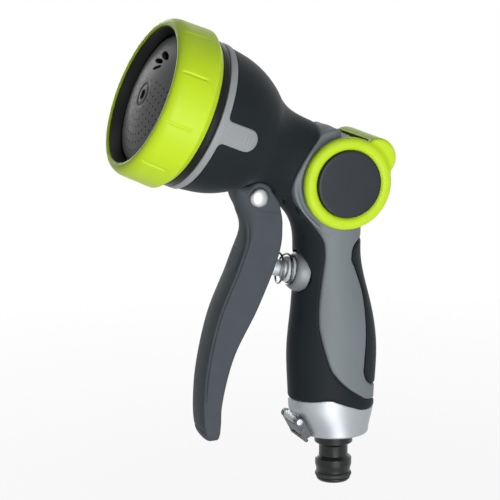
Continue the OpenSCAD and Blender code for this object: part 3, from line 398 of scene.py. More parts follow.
def skin(field, low, high, step):
    """Points and four-sided faces of the surface where a field is zero."""
    axes = [np.arange(a, b + step, step) for a, b in zip(low, high)]
    shape = [len(a) for a in axes]
    values = np.broadcast_to(field(*np.ix_(*axes)), shape).astype(np.float32)
    inside = values < 0
    cells_in = [n - 1 for n in shape]
    corners = [np.array((i, j, k)) for i in (0, 1) for j in (0, 1) for k in (0, 1)]
    total = sum(inside[i:i + cells_in[0], j:j + cells_in[1], k:k + cells_in[2]].astype(np.int8)
                for i, j, k in corners)
    cells = np.argwhere((total > 0) & (total < 8))
    number = np.full(cells_in, -1, np.int32)
    number[tuple(cells.T)] = np.arange(len(cells))
    place, hits = np.zeros((len(cells), 3)), np.zeros(len(cells))
    faces, unit = [], np.eye(3, dtype=int)
    for axis in range(3):
        along, others = unit[axis], [(axis + 1) % 3, (axis + 2) % 3]
        for a in corners:
            if a[axis]:
                continue
            fa, fb = values[tuple((cells + a).T)], values[tuple((cells + a + along).T)]
            cross = (fa < 0) != (fb < 0)
            t = np.where(cross, fa / np.where(cross, fa - fb, 1), 0)
            place += cross[:, None] * (a + t[:, None] * along)
            hits += cross
        u, v = unit[others]
        near = np.take(inside, np.arange(shape[axis] - 1), axis)
        edges = np.argwhere(near != np.take(inside, np.arange(1, shape[axis]), axis))
        across = edges[:, others]
        edges = edges[np.all((across > 0) & (across < [cells_in[k] for k in others]), axis=1)]
        quads = np.stack([number[tuple((edges - s).T)] for s in (u + v, v, 0 * u, u)], 1)
        outward = near[tuple(edges.T)]
        faces.append(np.where(outward[:, None], quads, quads[:, ::-1]))
    points = np.array(low) + step * (cells + place / hits[:, None])
    probe, reach = 0.2 * step, 0.6 * step
    for _ in range(3):
        away = field(*points.T)
        slope = np.stack([(field(*(points + probe * e).T) - away) / probe for e in unit], 1)
        move = np.clip(away / np.maximum((slope ** 2).sum(1), 0.1), -reach, reach)
        points = points - move[:, None] * slope
    return points, np.vstack(faces).tolist()


def rounded(corners, arc=5):
    """Outline with its corners rounded, from points of radius, height and rounding."""
    out = []
    for i, (r, h, radius) in enumerate(corners):
        here = np.array((r, h), float)
        back = np.array(corners[i - 1][:2], float) - here
        ahead = np.array(corners[(i + 1) % len(corners)][:2], float) - here
        if radius <= 0:
            out.append(here)
            continue
        long_back, long_ahead = np.linalg.norm(back), np.linalg.norm(ahead)
        back, ahead = back / long_back, ahead / long_ahead
        half = 0.5 * math.acos(float(np.clip(back @ ahead, -1, 1)))
        cut = min(radius / math.tan(half), 0.45 * long_back, 0.45 * long_ahead)
        for t in np.linspace(0, 1, arc):
            out.append(here + (1 - t) ** 2 * cut * back + t * t * cut * ahead)
    return np.array(out)


def turned(outline, place, segments=128, closed=True):
    """Points and faces of an outline of radius and height, turned about a place's own axis."""
    outline = np.asarray(outline, float)
    angles = np.linspace(0, 2 * np.pi, segments, endpoint=False)
    points, rings = [], []
    for r, h in outline:
        start = len(points)
        if r < 1e-6:
            points.append((0, 0, h))
            rings.append([start] * segments)
        else:
            points.extend((r * math.cos(a), r * math.sin(a), h) for a in angles)
            rings.append(list(range(start, start + segments)))
    return placed(points, place), banded(rings, closed)


def banded(rings, closed=True):
    """Faces between rings of point numbers, each with the next."""
    faces = []
    for low, high in list(zip(rings, rings[1:] + rings[:1]))[:None if closed else -1]:
        for k in range(len(low)):
            n = (k + 1) % len(low)
            face = list(dict.fromkeys((low[k], low[n], high[n], high[k])))
            if len(face) > 2:
                faces.append(face)
    return faces


def placed(points, place):
    """Points of a local frame, in the part's frame."""
    matrix = np.array(place)
    return np.asarray(points, float) @ matrix[:3, :3].T + matrix[:3, 3]


def axis_place(x, y, z, direction):
    """Local frame at a point, with its Z axis along a direction of the middle plane."""
    dx, dz = direction
    return Matrix(((dz, 0, dx, x), (0, 1, 0, y), (-dx, 0, dz, z), (0, 0, 0, 1)))


def side_place(x, z, side):
    """Local frame at a point of the middle plane, with its Z axis across the part."""
    return Matrix(((1, 0, 0, x), (0, 0, -side, 0), (0, side, 0, z), (0, 0, 0, 1)))


HEAD = axis_place(HEAD_BASE[0], 0, HEAD_BASE[1], HEAD_AXIS)
VALVE = axis_place(VALVE_BASE[0], 0, VALVE_BASE[1], VALVE_AXIS)
UPRIGHT = Matrix.Identity(4)


def shown(name, data):
    """Object of some data, linked to the scene."""
    thing = bpy.data.objects.new(name, data)
    bpy.context.scene.collection.objects.link(thing)
    return thing


def outward(mesh):
    """Turns a mesh's faces outwards."""
    work = bmesh.new()
    work.from_mesh(mesh)
    bmesh.ops.recalc_face_normals(work, faces=work.faces)
    work.to_mesh(mesh)
    work.free()


def settle(name, mesh, finish, body, slot, *nodes, sharp=None):
    """Piece of a mesh: smooth, in its finish, on its body and in place of its nodes."""
    outward(mesh)
    mesh.polygons.foreach_set("use_smooth", [True] * len(mesh.polygons))
    if sharp:
        mesh.set_sharp_from_angle(angle=math.radians(sharp))
    mesh.materials.clear()
    mesh.materials.append(finish)
    piece = shown(name, mesh)
    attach(piece, body)
    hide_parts(*nodes)
    return piece


def make(name, points, faces, finish, body, slot, *nodes, sharp=None):
    """Piece of points in millimetres and their faces."""
    mesh = bpy.data.meshes.new(name)
    mesh.from_pydata((np.asarray(points) * MM).tolist(), [], faces)
    settle(name, mesh, finish, body, slot, *nodes, sharp=sharp)


def lathe(name, outline, place, segments, finish, body, slot, *nodes, closed=True):
    """Turned piece with crisp edges."""
    make(name, *turned(outline, place, segments, closed), finish, body, slot, *nodes, sharp=CRISP)


def both_ends(half):
    """Outline of a pin, from the outline of its upper half."""
    return half + [(r, -h) for r, h in half[::-1]]


def linear(code):
    """Linear colour of an sRGB hex value."""
    parts = [int(code[i:i + 2], 16) / 255 for i in (1, 3, 5)]
    return [c / 12.92 if c <= 0.04045 else ((c + 0.055) / 1.055) ** 2.4 for c in parts]


def add(tree, kind, inputs=None, **settings):
    """Node of a kind, with its settings, its values and its links."""
    node = tree.nodes.new(kind)
    for key, value in settings.items():
        setattr(node, key, value)
    for key, value in (inputs or {}).items():
        if isinstance(value, bpy.types.NodeSocket):
            tree.links.new(value, node.inputs[key])
        else:
            node.inputs[key].default_value = value
    return node


def bare_tree(owner):
    """Empty node tree of a material or a world."""
    owner.use_nodes = True
    owner.node_tree.nodes.clear()
    return owner.node_tree


def finish_of(name, colour, roughness, grain, depth,
              tone=0.05, drift=22.0, gloss=0.06, metallic=0.0, **sockets):
    """Surface of one tone, with a slow drift of tone and gloss and a grain of a size in millimetres."""
    found = bpy.data.materials.get(name)
    if found:
        return found
    material = bpy.data.materials.new(name)
    tree = bare_tree(material)
    where = add(tree, "ShaderNodeTexCoord").outputs["Object"]
    slow = add(tree, "ShaderNodeTexNoise", {"Vector": where, "Scale": 1 / (drift * MM), "Detail": 3.0})
    fine = add(tree, "ShaderNodeTexNoise", {"Vector": where, "Scale": 1 / (grain * MM), "Detail": 2.0})
    level = add(tree, "ShaderNodeMapRange", {"Value": slow.outputs["Fac"], "From Min": 0.3, "From Max": 0.7,
                                             "To Min": 1 - tone, "To Max": 1 + tone})
    shade = add(tree, "ShaderNodeHueSaturation", {"Value": level.outputs["Result"], "Color": (*colour, 1)})
    mixed = add(tree, "ShaderNodeMath", {0: slow.outputs["Fac"], 1: fine.outputs["Fac"]}, operation="ADD")
    rough = add(tree, "ShaderNodeMapRange", {
        "Value": mixed.outputs["Value"], "From Min": 0.6, "From Max": 1.4,
        "To Min": roughness - gloss, "To Max": roughness + gloss})
    bump = add(tree, "ShaderNodeBump", {
        "Height": fine.outputs["Fac"], "Strength": 1.0, "Distance": depth * MM})
    shader = add(tree, "ShaderNodeBsdfPrincipled", {
        "Base Color": shade.outputs["Color"], "Roughness": rough.outputs["Result"],
        "Normal": bump.outputs["Normal"], "Metallic": metallic, **sockets})
    add(tree, "ShaderNodeOutputMaterial", {"Surface": shader.outputs["BSDF"]})
    return material


# Finishes by name: material, where it is, colour, roughness, grain and its depth in millimetres,
# and what else is set.
# A plain plastic or rubber starts at an IOR of about 1.5. Several are matched lower here,
# because the photo's dark pieces reflect little and these stand in an all-white room.
FINISHES = {
    # Moulded ABS in lime: satin, with a soft broad gloss and a fine spark-eroded grain
    "lime": ("lime_abs_moulded", "Bezel and yoke", "#BEDC26", 0.43, 0.7, 0.012, {"tone": 0.03, "IOR": 1.3}),
    # Over-moulded soft rubber: dull and dark, with a faint velvet sheen at grazing angles
    "soft": ("black_soft_touch_rubber", "Cover and palm pad", "#1E2326", 0.56, 0.8, 0.02,
             {"tone": 0.08, "IOR": 1.18, "Sheen Weight": 0.05, "Sheen Roughness": 0.4}),
    # Powder-coated casting: even grey with a slight orange peel
    "grey": ("grey_powder_coat", "Panel, saddle and cheek", "#6E767A", 0.58, 1.6, 0.02,
             {"tone": 0.03, "IOR": 1.42}),
    # Silver lacquer over aluminium: pale, with a tall narrow highlight
    "silver": ("silver_lacquer", "Base collar", "#A4A9AD", 0.42, 0.6, 0.002,
               {"tone": 0.02, "gloss": 0.03, "metallic": 0.6}),
    # Grey moulded ABS of the index ring: matt, with a dotted spark grain that is drawn
    # coarser than its 0.3 mm so that it shows
    "index": ("grey_abs_spark_grain", "Index ring", "#919496", 0.5, 0.9, 0.05, {"tone": 0.04, "IOR": 1.35}),
    # Black moulded ABS: deep and satin, it catches narrow highlights on its edges
    "black": ("black_abs_moulded", "Turret and head plate", "#0C0E0F", 0.34, 0.9, 0.012,
              {"tone": 0.08, "IOR": 1.28}),
    # Black moulded acetal of the spigot: smoother than the turret, with a clear upright highlight
    "spigot": ("black_acetal_spigot", "Hose spigot", "#0C0E0F", 0.3, 0.9, 0.008,
               {"tone": 0.08, "IOR": 1.42}),
    # Black spray plate: dry and a little greyer than the turret, so that its dome shows
    "plate": ("black_matt_spray_plate", "Spray plate", "#2E2F31", 0.5, 0.9, 0.015,
              {"tone": 0.08, "IOR": 1.5}),
    # Glass-filled nylon of the trigger: dark grey, dry, with a fine fibre mottle
    "nylon": ("glass_filled_nylon", "Trigger lever", "#464C51", 0.58, 0.9, 0.02,
              {"tone": 0.08, "drift": 9, "IOR": 1.22}),
    # Satin black cap: smooth, with a soft broad gloss
    "cap": ("black_satin_cap", "Knob caps", "#1F242A", 0.42, 0.8, 0.008, {"tone": 0.06, "IOR": 1.33}),
    # Polished stainless steel: bright, with faint polishing marks
    "bright": ("polished_stainless_steel", "Pins, ball and screws", "#B4B7B9", 0.42, 0.8, 0.004,
               {"tone": 0.03, "gloss": 0.05, "metallic": 1.0}),
    # Satin stem: pale steel with a soft, wide gloss
    "satin": ("satin_steel_stem", "Push stem", "#B0BABF", 0.46, 0.8, 0.006, {"tone": 0.04, "metallic": 0.4}),
    # Spring wire: drawn steel, a little darker and streaky
    "wire": ("drawn_spring_wire", "Springs", "#6C6860", 0.3, 0.5, 0.01,
             {"tone": 0.12, "drift": 4, "metallic": 1.0}),
    # Zinc-plated stamping: uneven and slightly clouded
    "stamped": ("zinc_plated_stamping", "Lock stirrup", "#4C5256", 0.46, 0.9, 0.008,
                {"tone": 0.08, "drift": 5, "metallic": 0.5}),
    # Die-cast zinc of the gland nut: satin grey metal
    "gland": ("satin_die_cast_zinc", "Gland nut", "#767B7E", 0.5, 0.7, 0.012,
              {"tone": 0.06, "drift": 8, "metallic": 0.4}),
    # Acetal bush: pale blue-grey, waxy
    "bush": ("acetal_bush", "Stem bush", "#AEB8BE", 0.4, 0.8, 0.008, {"tone": 0.04, "IOR": 1.48}),
    # Turned brass of the valve: warm metal with fine tool marks
    "brass": ("turned_brass", "Valve pieces", "#B5923C", 0.3, 0.5, 0.01, {"tone": 0.06, "metallic": 1.0}),
    # Nitrile rubber of the seals: matt black
    "rubber": ("nitrile_rubber", "Seals", "#161717", 0.6, 0.7, 0.01, {"tone": 0.1, "IOR": 1.5}),
}


def finishes(look):
    """The part's finishes, in the colours of the panel."""
    return {key: finish_of(name, getattr(look, key), *surface, **rest)
            for key, (name, _, _, *surface, rest) in FINISHES.items()}


def colour(label, use, code):
    """Colour property with an sRGB hex default."""
    return bpy.props.FloatVectorProperty(name=label, description=use, subtype="COLOR", size=3,
                                         min=0, max=1, default=linear(code))


def length(label, use, metres):
    """Length property in metres."""
    return bpy.props.FloatProperty(name=label, description=use, default=metres, min=0,
                                   unit="LENGTH", precision=5)


def angle(label, use, degrees):
    """Angle property with a default in degrees."""
    return bpy.props.FloatProperty(name=label, description=use, default=math.radians(degrees),
                                   subtype="ANGLE")


class NozzleSizes(bpy.types.PropertyGroup):
    """Sizes of the fine forms that the looks add."""

    seam: length("Seam", "Half gap between the cover, the panel, the pad and the collar", 0.00018)
    cover_lift: length("Cover lift", "How far the soft cover stands over the casting", 0.00015)
    pad_lift: length("Pad lift", "How far the palm pad stands over the casting", 0.00015)
    bead: length("Bead", "Width of the bead along the trigger's front edges", 0.0011)
    bead_step: length("Bead step", "Depth of the trigger's sides behind the bead", 0.00035)
    groove_depth: length("Groove depth", "Depth of the grip grooves round the bezel", 0.00045)
    groove_width: length("Groove width", "Width of one grip groove on the bezel", 0.0019)
    groove_length: length("Groove length", "Length of one grip groove on the bezel", 0.013)
    grooves: bpy.props.IntProperty(name="Grooves", description="Grip grooves round the bezel",
                                   default=10, min=4, max=24)
    hole: length("Shower hole", "Radius of one shower hole", 0.00042)
    rows: bpy.props.IntProperty(name="Hole rows", description="Rows of shower holes", default=6, min=2, max=8)
    row_step: length("Row step", "Distance between rows of shower holes", 0.0034)


class NozzleLook(bpy.types.PropertyGroup):
    """Colours of the finishes."""

    __annotations__ = {key: colour(key.capitalize(), use, code)
                       for key, (_, use, code, *_) in FINISHES.items()}


class NozzleStage(bpy.types.PropertyGroup):
    """Camera, floor and light."""

    azimuth: angle("Azimuth", "Camera's turn from straight ahead", -20.6)
    elevation: angle("Elevation", "Camera's height angle", 12)
    distance: length("Distance", "From the camera to its target", 1.0)
    lens: bpy.props.FloatProperty(name="Lens", description="Focal length on a 36 mm sensor",
                                  default=157.9, unit="CAMERA")
    floor_drop: length("Floor drop", "From the spigot's mouth down to the floor", 0.012)
    light: bpy.props.FloatProperty(name="Light", description="Strength of the lamps, 1 is plain level",
                                   default=1.0, min=0)


class NozzlePiece:
    """What the piece operators share."""

    bl_options = {"REGISTER", "UNDO"}

    def execute(self, context):
        scene = context.scene
        self.build(scene.nozzle_sizes, finishes(scene.nozzle_look))
        return {"FINISHED"}


class NOZZLE_OT_grip(NozzlePiece, bpy.types.Operator):
    """Casting, soft cover, palm pad and base collar of the grip"""

    bl_idname = "nozzle.grip"
    bl_label = "Grip and Body"

    def build(self, size, finish):
        pieces = (
            ("soft_cover", partial(cover_field, size), (-79, -36, 30), (23, 36, 209), 0.72,
             "soft", "soft_black", "grip_cover"),
            ("casting", partial(casting_field, size), (-78, -34, 24), (25, 34, 208), 0.8,
             "grey", "casting_grey", "body_casting"),
            ("rear_pad", partial(pad_field, size), (0, -18, 32), (24, 18, 119), 0.55,
             "soft", "soft_black", "palm_pad"),
            ("collar", collar_field, (-31, -19, 22.5), (22, 19, 45), 0.45,
             "silver", "collar_silver", "base_collar"),
        )
        for name, field, low, high, step, look, slot, node in pieces:
            make(name, *skin(field, low, high, step), finish[look], "body", slot, node)


class NOZZLE_OT_head(NozzlePiece, bpy.types.Operator):
    """Bezel, turret shell, spray plate and index ring of the head"""

    bl_idname = "nozzle.head"
    bl_label = "Spray Head"

    def build(self, size, finish):
        make("bezel", *bezel_mesh(size), finish["lime"], "turret", "lime_plastic", "bezel_ring")
        shell = rounded(((10, 73.1, 0), (33.9, 73.1, 0.5), (34.3, 73.9, 0.4), (34.3, 76, 0.5),
                         (33.9, 76.8, 0.2), (33.9, 97.6, 0.2), (33.6, 98, 0.1), (32.1, 98, 0.2),
                         (30.5, 93.2, 0.5), (30.25, 91.6, 0.6), (29.1, 91.4, 0.4), (29, 87, 0),
                         (28.2, 75, 0), (10, 75, 0)))
        lathe("turret_wall", shell, HEAD, 192, finish["black"], "turret", "black_plastic", "turret_shell")
        plate = perforated(spray_dome(), size, finish["plate"])
        settle("spray_dome", plate, finish["plate"], "turret", "black_plastic", "spray_plate", sharp=CRISP)
        points, faces = skin(index_field, (-36, -36, 49), (36, 36, 74.2), 0.42)
        make("index_pointer", placed(points, HEAD), faces, finish["index"], "body",
             "index_grey", "index_ring")


class NOZZLE_OT_knob(NozzlePiece, bpy.types.Operator):
    """Flow yoke and its two plain caps"""

    bl_idname = "nozzle.knob"
    bl_label = "Knob and Yoke"

    def build(self, size, finish):
        make("thumb_yoke", *skin(yoke_field, (-25, -23, 121), (27, 23, 174), 0.45), finish["lime"],
             "yoke", "lime_plastic", "flow_yoke")
        cap = rounded(((0, CAP_SEAT, 0), (15.3, CAP_SEAT, 0.1), (15.3, 22.0, 0.6), (14.2, 22.15, 0.3),
                       (9, 22.25, 0), (0, 22.3, 0)))
        for name, side, node in (("cap_near", 1, "knob_cap_left"), ("cap_far", -1, "knob_cap_right")):
            lathe(name, cap, side_place(*KNOB, side), 128, finish["cap"],
                  "yoke", "cap_black", node, closed=False)


class NOZZLE_OT_trigger(NozzlePiece, bpy.types.Operator):
    """Trigger lever and its domed pin"""

    bl_idname = "nozzle.trigger"
    bl_label = "Trigger"

    def build(self, size, finish):
        field = partial(trigger_field, size)
        make("trigger", *skin(field, (-70, -9, 23.5), (-28, 9, 147), 0.42), finish["nylon"],
             "trigger", "trigger_black", "trigger_lever")
        dome = [(4.55 * math.sin(a), EAR_ROOM + 2 * math.cos(a)) for a in np.linspace(0, math.pi / 2, 12)]
        pin = both_ends(dome + [(4.2, EAR_ROOM), (2.5, EAR_ROOM)])
        lathe("pivot_pin", pin, side_place(*PIVOT, 1), 64, finish["bright"],
              "body", "bright_steel", "trigger_pin", closed=False)


class NOZZLE_OT_valve(NozzlePiece, bpy.types.Operator):
    """Valve stem, its bush and gland nut, and the springs"""

    bl_idname = "nozzle.valve"
    bl_label = "Valve and Springs"

    def build(self, size, finish):
        cup = [(7.1 + 2.6 * math.sin(a), 6 - 6 * math.cos(a)) for a in np.linspace(0, math.pi / 2, 14)]
        nut = [(3.95, 9.9), (3.95, 4.5), (6.7, 4.5), (6.7, 0.3), *cup, (7.6, 6), (7.6, 9.9)]
        lathe("gland_cup", nut, VALVE, 96, finish["gland"], "body", "gland_grey", "gland_nut")
        bush = rounded(((3.95, -3.5, 0.2), (5.8, -3.5, 0.5), (6, -1.5, 0.2), (6, 4.5, 0), (3.95, 4.5, 0)))
        lathe("stem_guide", bush, VALVE, 72, finish["bush"], "body", "bush_plastic", "stem_bush")
        # From 6 mm on the stem is slimmer than the solid, so that it clears the bore of the valve seat
        nose = [(3.9 * math.sin(a), -10.8 - 3.9 * math.cos(a)) for a in np.linspace(0, math.pi / 2, 9)]
        stem = nose + [(3.9, 5.8), (3.7, 6), (3.7, 10.5), (1.8, 10.5), (1.8, 19.55), (0, 19.55)]
        lathe("push_stem", stem, VALVE, 64, finish["satin"],
              "stem", "bright_steel", "valve_stem", closed=False)
        springs = (
            ("push_spring", VALVE, (0, 0, -10.45), 7.0, 1.0, 2, 10.35, "return_spring"),
            ("poppet_spring", VALVE, (0, 0, 19.65), 3.8, 0.7, 4, 10.55, "valve_spring"),
            ("port_spring", HEAD, (14, 0, 64.5), 4.5, 0.6, 2, 4.1, "seal_spring"),
            ("ball_spring", HEAD, (-22, 0, 65.8), 1.4, 0.5, 3, 4.2, "detent_spring"),
        )
        made = {}
        for name, place, spot, radius, wire, turns, tall, node in springs:
            place = place @ Matrix.Translation(spot)
            mesh = coil_mesh(name, place, radius, wire, turns, tall, finish["wire"])
            made[node] = settle(name, mesh, finish["wire"], "body", "spring_steel", node)
        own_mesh(made["return_spring"])
        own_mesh(made["valve_spring"])


class NOZZLE_OT_spigot(NozzlePiece, bpy.types.Operator):
    """Hose spigot and its O-ring"""

    bl_idname = "nozzle.spigot"
    bl_label = "Spigot"

    def build(self, size, finish):
        outline = rounded(((4.8, 0, 0.3), (7.2, 0, 0.5), (8, 1, 0.5), (8, 1.7, 0.15), (6.1, 1.7, 0.1),
                           (6.1, 4.3, 0.1), (8, 4.3, 0.15), (8, 5.5, 0.6), (8.6, 7.9, 0.6),
                           (8.6, 10.9, 0.35), (6.8, 12.4, 0.5), (6.8, 17.4, 0.5), (9, 18.8, 0.4),
                           (9, 26.1, 0.1), (10.4, 26.1, 0), (10.4, 36, 0), (4.8, 36, 0)))
        lathe("spigot", outline, UPRIGHT, 128, finish["spigot"], "body", "black_plastic", "hose_spigot")
        ring = [(7.4 + 1.25 * math.cos(a), 3 + 1.25 * math.sin(a))
                for a in np.linspace(0, 2 * math.pi, 20, endpoint=False)]
        make("o_ring", *turned(ring, UPRIGHT, 96), finish["rubber"], "body", "seal_rubber", "spigot_seal")


class NOZZLE_OT_lock(NozzlePiece, bpy.types.Operator):
    """Trigger lock stirrup and its riveted pin"""

    bl_idname = "nozzle.lock"
    bl_label = "Trigger Lock"

    def build(self, size, finish):
        make("stirrup", *skin(lock_field, (-24.5, -10, 20.5), (-13, 10, 35.5), 0.22), finish["stamped"],
             "lock", "stamped_steel", "lock_stirrup")
        head = rounded(((1.1, 9.6, 0), (1.6, 9.6, 0.1), (1.4, 10, 0.2), (0, 10.1, 0)))
        pin = both_ends([(r, h) for r, h in head[::-1]])
        lathe("rivet_pin", pin, side_place(*LOCK, 1), 48, finish["bright"],
              "body", "bright_steel", "lock_pin", closed=False)


class NOZZLE_OT_inner(NozzlePiece, bpy.types.Operator):
    """Finishes of the inner pieces that keep their solids"""

    bl_idname = "nozzle.inner"
    bl_label = "Inner Pieces"

    def build(self, size, finish):
        looks = {
            "black": ("head_plate",),
            "rubber": ("selector_seal", "stem_seal", "inlet_washer", "poppet_seal", "spindle_seals"),
            "bright": ("detent_ball", "turret_screw", "yoke_screws"),
            "brass": ("valve_seat", "poppet", "flow_spindle"),
        }
        for look, nodes in looks.items():
            for node in nodes:
                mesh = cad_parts[node].data
                mesh.materials.clear()
                mesh.materials.append(finish[look])


# Point that the camera and the lamps face, and the lamps: place from there, width and height in metres,
# and power in watts
TARGET = Vector((-0.04197, 0, 0.11362))
LAMPS = (
    ("key", (-0.05, -1.25, -0.2), 0.38, 1.2, 17.0),
    ("left_fill", (-1.1, -0.55, 0.25), 0.6, 0.6, 0.3),
    ("overhead", (0.0, 0.0, 1.2), 0.8, 0.8, 0.9),
    ("rear_fill", (0.9, 1.0, 0.4), 0.9, 0.9, 1.6),
    ("rear_key", (0.0, 1.25, 0.1), 0.5, 0.9, 7.0),
)
# Half the floor's side in metres
FLOOR = 6


class NOZZLE_OT_stage(bpy.types.Operator):
    """White studio: camera, floor, lamps and world"""

    bl_idname = "nozzle.stage"
    bl_label = "Stage"
    bl_options = {"REGISTER", "UNDO"}

    def execute(self, context):
        scene, stage = context.scene, context.scene.nozzle_stage
        scene.view_settings.view_transform = "Standard"
        level = math.cos(stage.elevation)
        toward = Vector((math.sin(stage.azimuth) * level, -math.cos(stage.azimuth) * level,
                         math.sin(stage.elevation)))
        camera = shown("camera", bpy.data.cameras.new("camera"))
        camera.data.lens = stage.lens
        camera.data.sensor_width = 36
        camera.data.clip_start = 0.01
        camera.location = TARGET + toward * stage.distance
        camera.rotation_euler = toward.to_track_quat("Z", "Y").to_euler()
        scene.camera = camera
        for name, spot, wide, tall, power in LAMPS:
            lamp = bpy.data.lights.new(name, "AREA")
            lamp.shape = "RECTANGLE"
            lamp.size, lamp.size_y = wide, tall
            lamp.energy = power * stage.light
            holder = shown(name, lamp)
            holder.location = TARGET + Vector(spot)
            holder.rotation_euler = Vector(spot).to_track_quat("Z", "Y").to_euler()
        scene.world = white_room()
        mesh = bpy.data.meshes.new("floor")
        corners = [(a * FLOOR, b * FLOOR, -stage.floor_drop) for a, b in ((-1, -1), (1, -1), (1, 1), (-1, 1))]
        mesh.from_pydata(corners, [], [(0, 1, 2, 3)])
        mesh.materials.append(floor_paper())
        floor = shown("floor", mesh)
        return {"FINISHED"}


def white_room():
    """World that is white where it is seen and lights the part only faintly."""
    world = bpy.data.worlds.new("white_room")
    tree = bare_tree(world)
    room = add(tree, "ShaderNodeBackground", {"Color": (0.9, 0.95, 1.0, 1), "Strength": 0.12})
    white = add(tree, "ShaderNodeBackground", {"Color": (1, 1, 1, 1), "Strength": 1.0})
    both = add(tree, "ShaderNodeMixShader", {0: seen_rays(tree), 1: room.outputs[0], 2: white.outputs[0]})
    add(tree, "ShaderNodeOutputWorld", {"Surface": both.outputs[0]})
    return world


def seen_rays(tree):
    """Socket that is 1 for what the camera sees, directly or in a shiny or clear surface."""
    path = add(tree, "ShaderNodeLightPath").outputs
    seen = path["Is Camera Ray"]
    for ray in ("Is Glossy Ray", "Is Transmission Ray"):
        seen = add(tree, "ShaderNodeMath", {0: seen, 1: path[ray]}, operation="MAXIMUM").outputs[0]
    return seen


def floor_paper():
    """White table: it keeps a pale shadow of the part and lets the low part of the key through."""
    material = bpy.data.materials.new("white_light_table")
    tree = bare_tree(material)
    where = add(tree, "ShaderNodeTexCoord").outputs["Object"]
    fibre = add(tree, "ShaderNodeTexNoise", {"Vector": where, "Scale": 1 / (3 * MM), "Detail": 2.0})
    tint = add(tree, "ShaderNodeMapRange", {"Value": fibre.outputs["Fac"], "To Min": 0.88, "To Max": 0.92})
    paper = add(tree, "ShaderNodeBsdfDiffuse", {"Color": tint.outputs["Result"]})
    white = add(tree, "ShaderNodeEmission", {"Color": (1, 1, 1, 1), "Strength": 1.0})
    away = add(tree, "ShaderNodeVectorMath", {0: where}, operation="LENGTH")
    fade = add(tree, "ShaderNodeMapRange", {"Value": away.outputs["Value"], "From Min": 0.1, "From Max": 0.45,
                                            "To Min": 0.9, "To Max": 1.0})
    share = add(tree, "ShaderNodeMath", {0: seen_rays(tree), 1: fade.outputs["Result"]}, operation="MULTIPLY")
    both = add(tree, "ShaderNodeMixShader", {0: share.outputs[0], 1: paper.outputs[0], 2: white.outputs[0]})
    through = add(tree, "ShaderNodeLightPath").outputs["Is Shadow Ray"]
    clear = add(tree, "ShaderNodeBsdfTransparent")
    table = add(tree, "ShaderNodeMixShader", {0: through, 1: both.outputs[0], 2: clear.outputs[0]})
    add(tree, "ShaderNodeOutputMaterial", {"Surface": table.outputs[0]})
    return material


def bezel_mesh(size, segments=900):
    """Points and faces of the bezel: a long rounded lip, a back bevel and slim grip grooves."""
    back = rounded(((34.1, 76.9, 0), (34.35, 76.9, 0.2), (37.35, 80, 0.8), (37.2, 84, 0)), arc=9)
    outline = list(back)[:-1]
    outline += [(37.35 - 0.45 * t, 81 + 12 * t) for t in np.linspace(0, 1, 24)]
    outline += [(33.3 + 3.6 * math.cos(a), 93.1 + 5.9 * math.sin(a))
                for a in np.linspace(0.08, math.pi / 2, 20)]
    outline += [(32.75, 99), (32.45, 98.85), (32.3, 98.6), (32.3, 98.1), (34.1, 98.1)]
    depth, half = size.groove_depth / MM, size.groove_width / MM / 2
    # End of the grooves along the axis, turn of the first one and radius at which they are as wide as set
    last, start, around = 97.1, 7.5, 37
    first = last - size.groove_length / MM
    pitch = 360 / size.grooves
    angles = np.arange(segments) * 360 / segments
    off = np.abs((angles - start + pitch / 2) % pitch - pitch / 2) * math.pi / 180 * around
    dent = 1 - rise(off, 0.15 * half, half)
    points = []
    for r, h in outline:
        # Only the outer side is grooved
        on = rise(h, first, first + 1.4) * (1 - rise(h, last - 1.6, last)) if r > 35 else 0
        radius = r - on * depth * dent
        a = np.radians(angles)
        points.append(np.stack((radius * np.cos(a), radius * np.sin(a), np.full(segments, h)), 1))
    rings = np.arange(len(outline) * segments).reshape(-1, segments).tolist()
    return placed(np.vstack(points), HEAD), banded(rings)


def spray_dome():
    """Mesh of the spray plate before it is drilled, in the head's own frame."""
    height, rim, edge, thick = DOME_TOP - DOME_EDGE, 30.2, 28.2, 2
    ball = (rim ** 2 + height ** 2) / (2 * height)
    outline = [(0, DOME_TOP)]
    for r in np.linspace(1.5, edge, 60):
        # Ring groove round the jet
        ring = 0.7 * math.exp(-((r - 4.9) / 0.6) ** 2)
        outline.append((r, DOME_TOP - ball + math.sqrt(ball ** 2 - r ** 2) - ring))
    side = outline[-1][1]
    outline += [(edge + 0.35, side - 0.15), (edge + 0.5, side - 0.6), (edge + 0.5, side - 2.6)]
    back = [(r, DOME_TOP - thick - ball + math.sqrt(ball ** 2 - r ** 2))
            for r in np.linspace(edge - 1, 2, 8)]
    outline += [(edge - 0.6, side - 2.6)] + back + [(0, DOME_TOP - thick)]
    points, faces = turned(outline[::-1], UPRIGHT, 144, closed=False)
    mesh = bpy.data.meshes.new("spray_dome_blank")
    mesh.from_pydata((points * MM).tolist(), [], faces)
    outward(mesh)
    return mesh


def node_tree(name, *values):
    """Geometry tree that takes a mesh, some values and a finish, and its two end nodes."""
    tree = bpy.data.node_groups.new(name, "GeometryNodeTree")
    tree.interface.new_socket("Geometry", in_out="OUTPUT", socket_type="NodeSocketGeometry")
    kinds = {"Geometry": "Geometry", **dict.fromkeys(values, "Float"), "Finish": "Material"}
    for label, kind in kinds.items():
        tree.interface.new_socket(label, in_out="INPUT", socket_type="NodeSocket" + kind)
    return tree, add(tree, "NodeGroupInput"), add(tree, "NodeGroupOutput")


def end_tree(tree, made, given, result):
    """Ends a tree: what it made becomes a real mesh in the given finish."""
    real = add(tree, "GeometryNodeRealizeInstances", {0: made})
    dressed = add(tree, "GeometryNodeSetMaterial", {"Geometry": real.outputs[0],
                                                    "Material": given.outputs["Finish"]})
    tree.links.new(dressed.outputs[0], result.inputs[0])


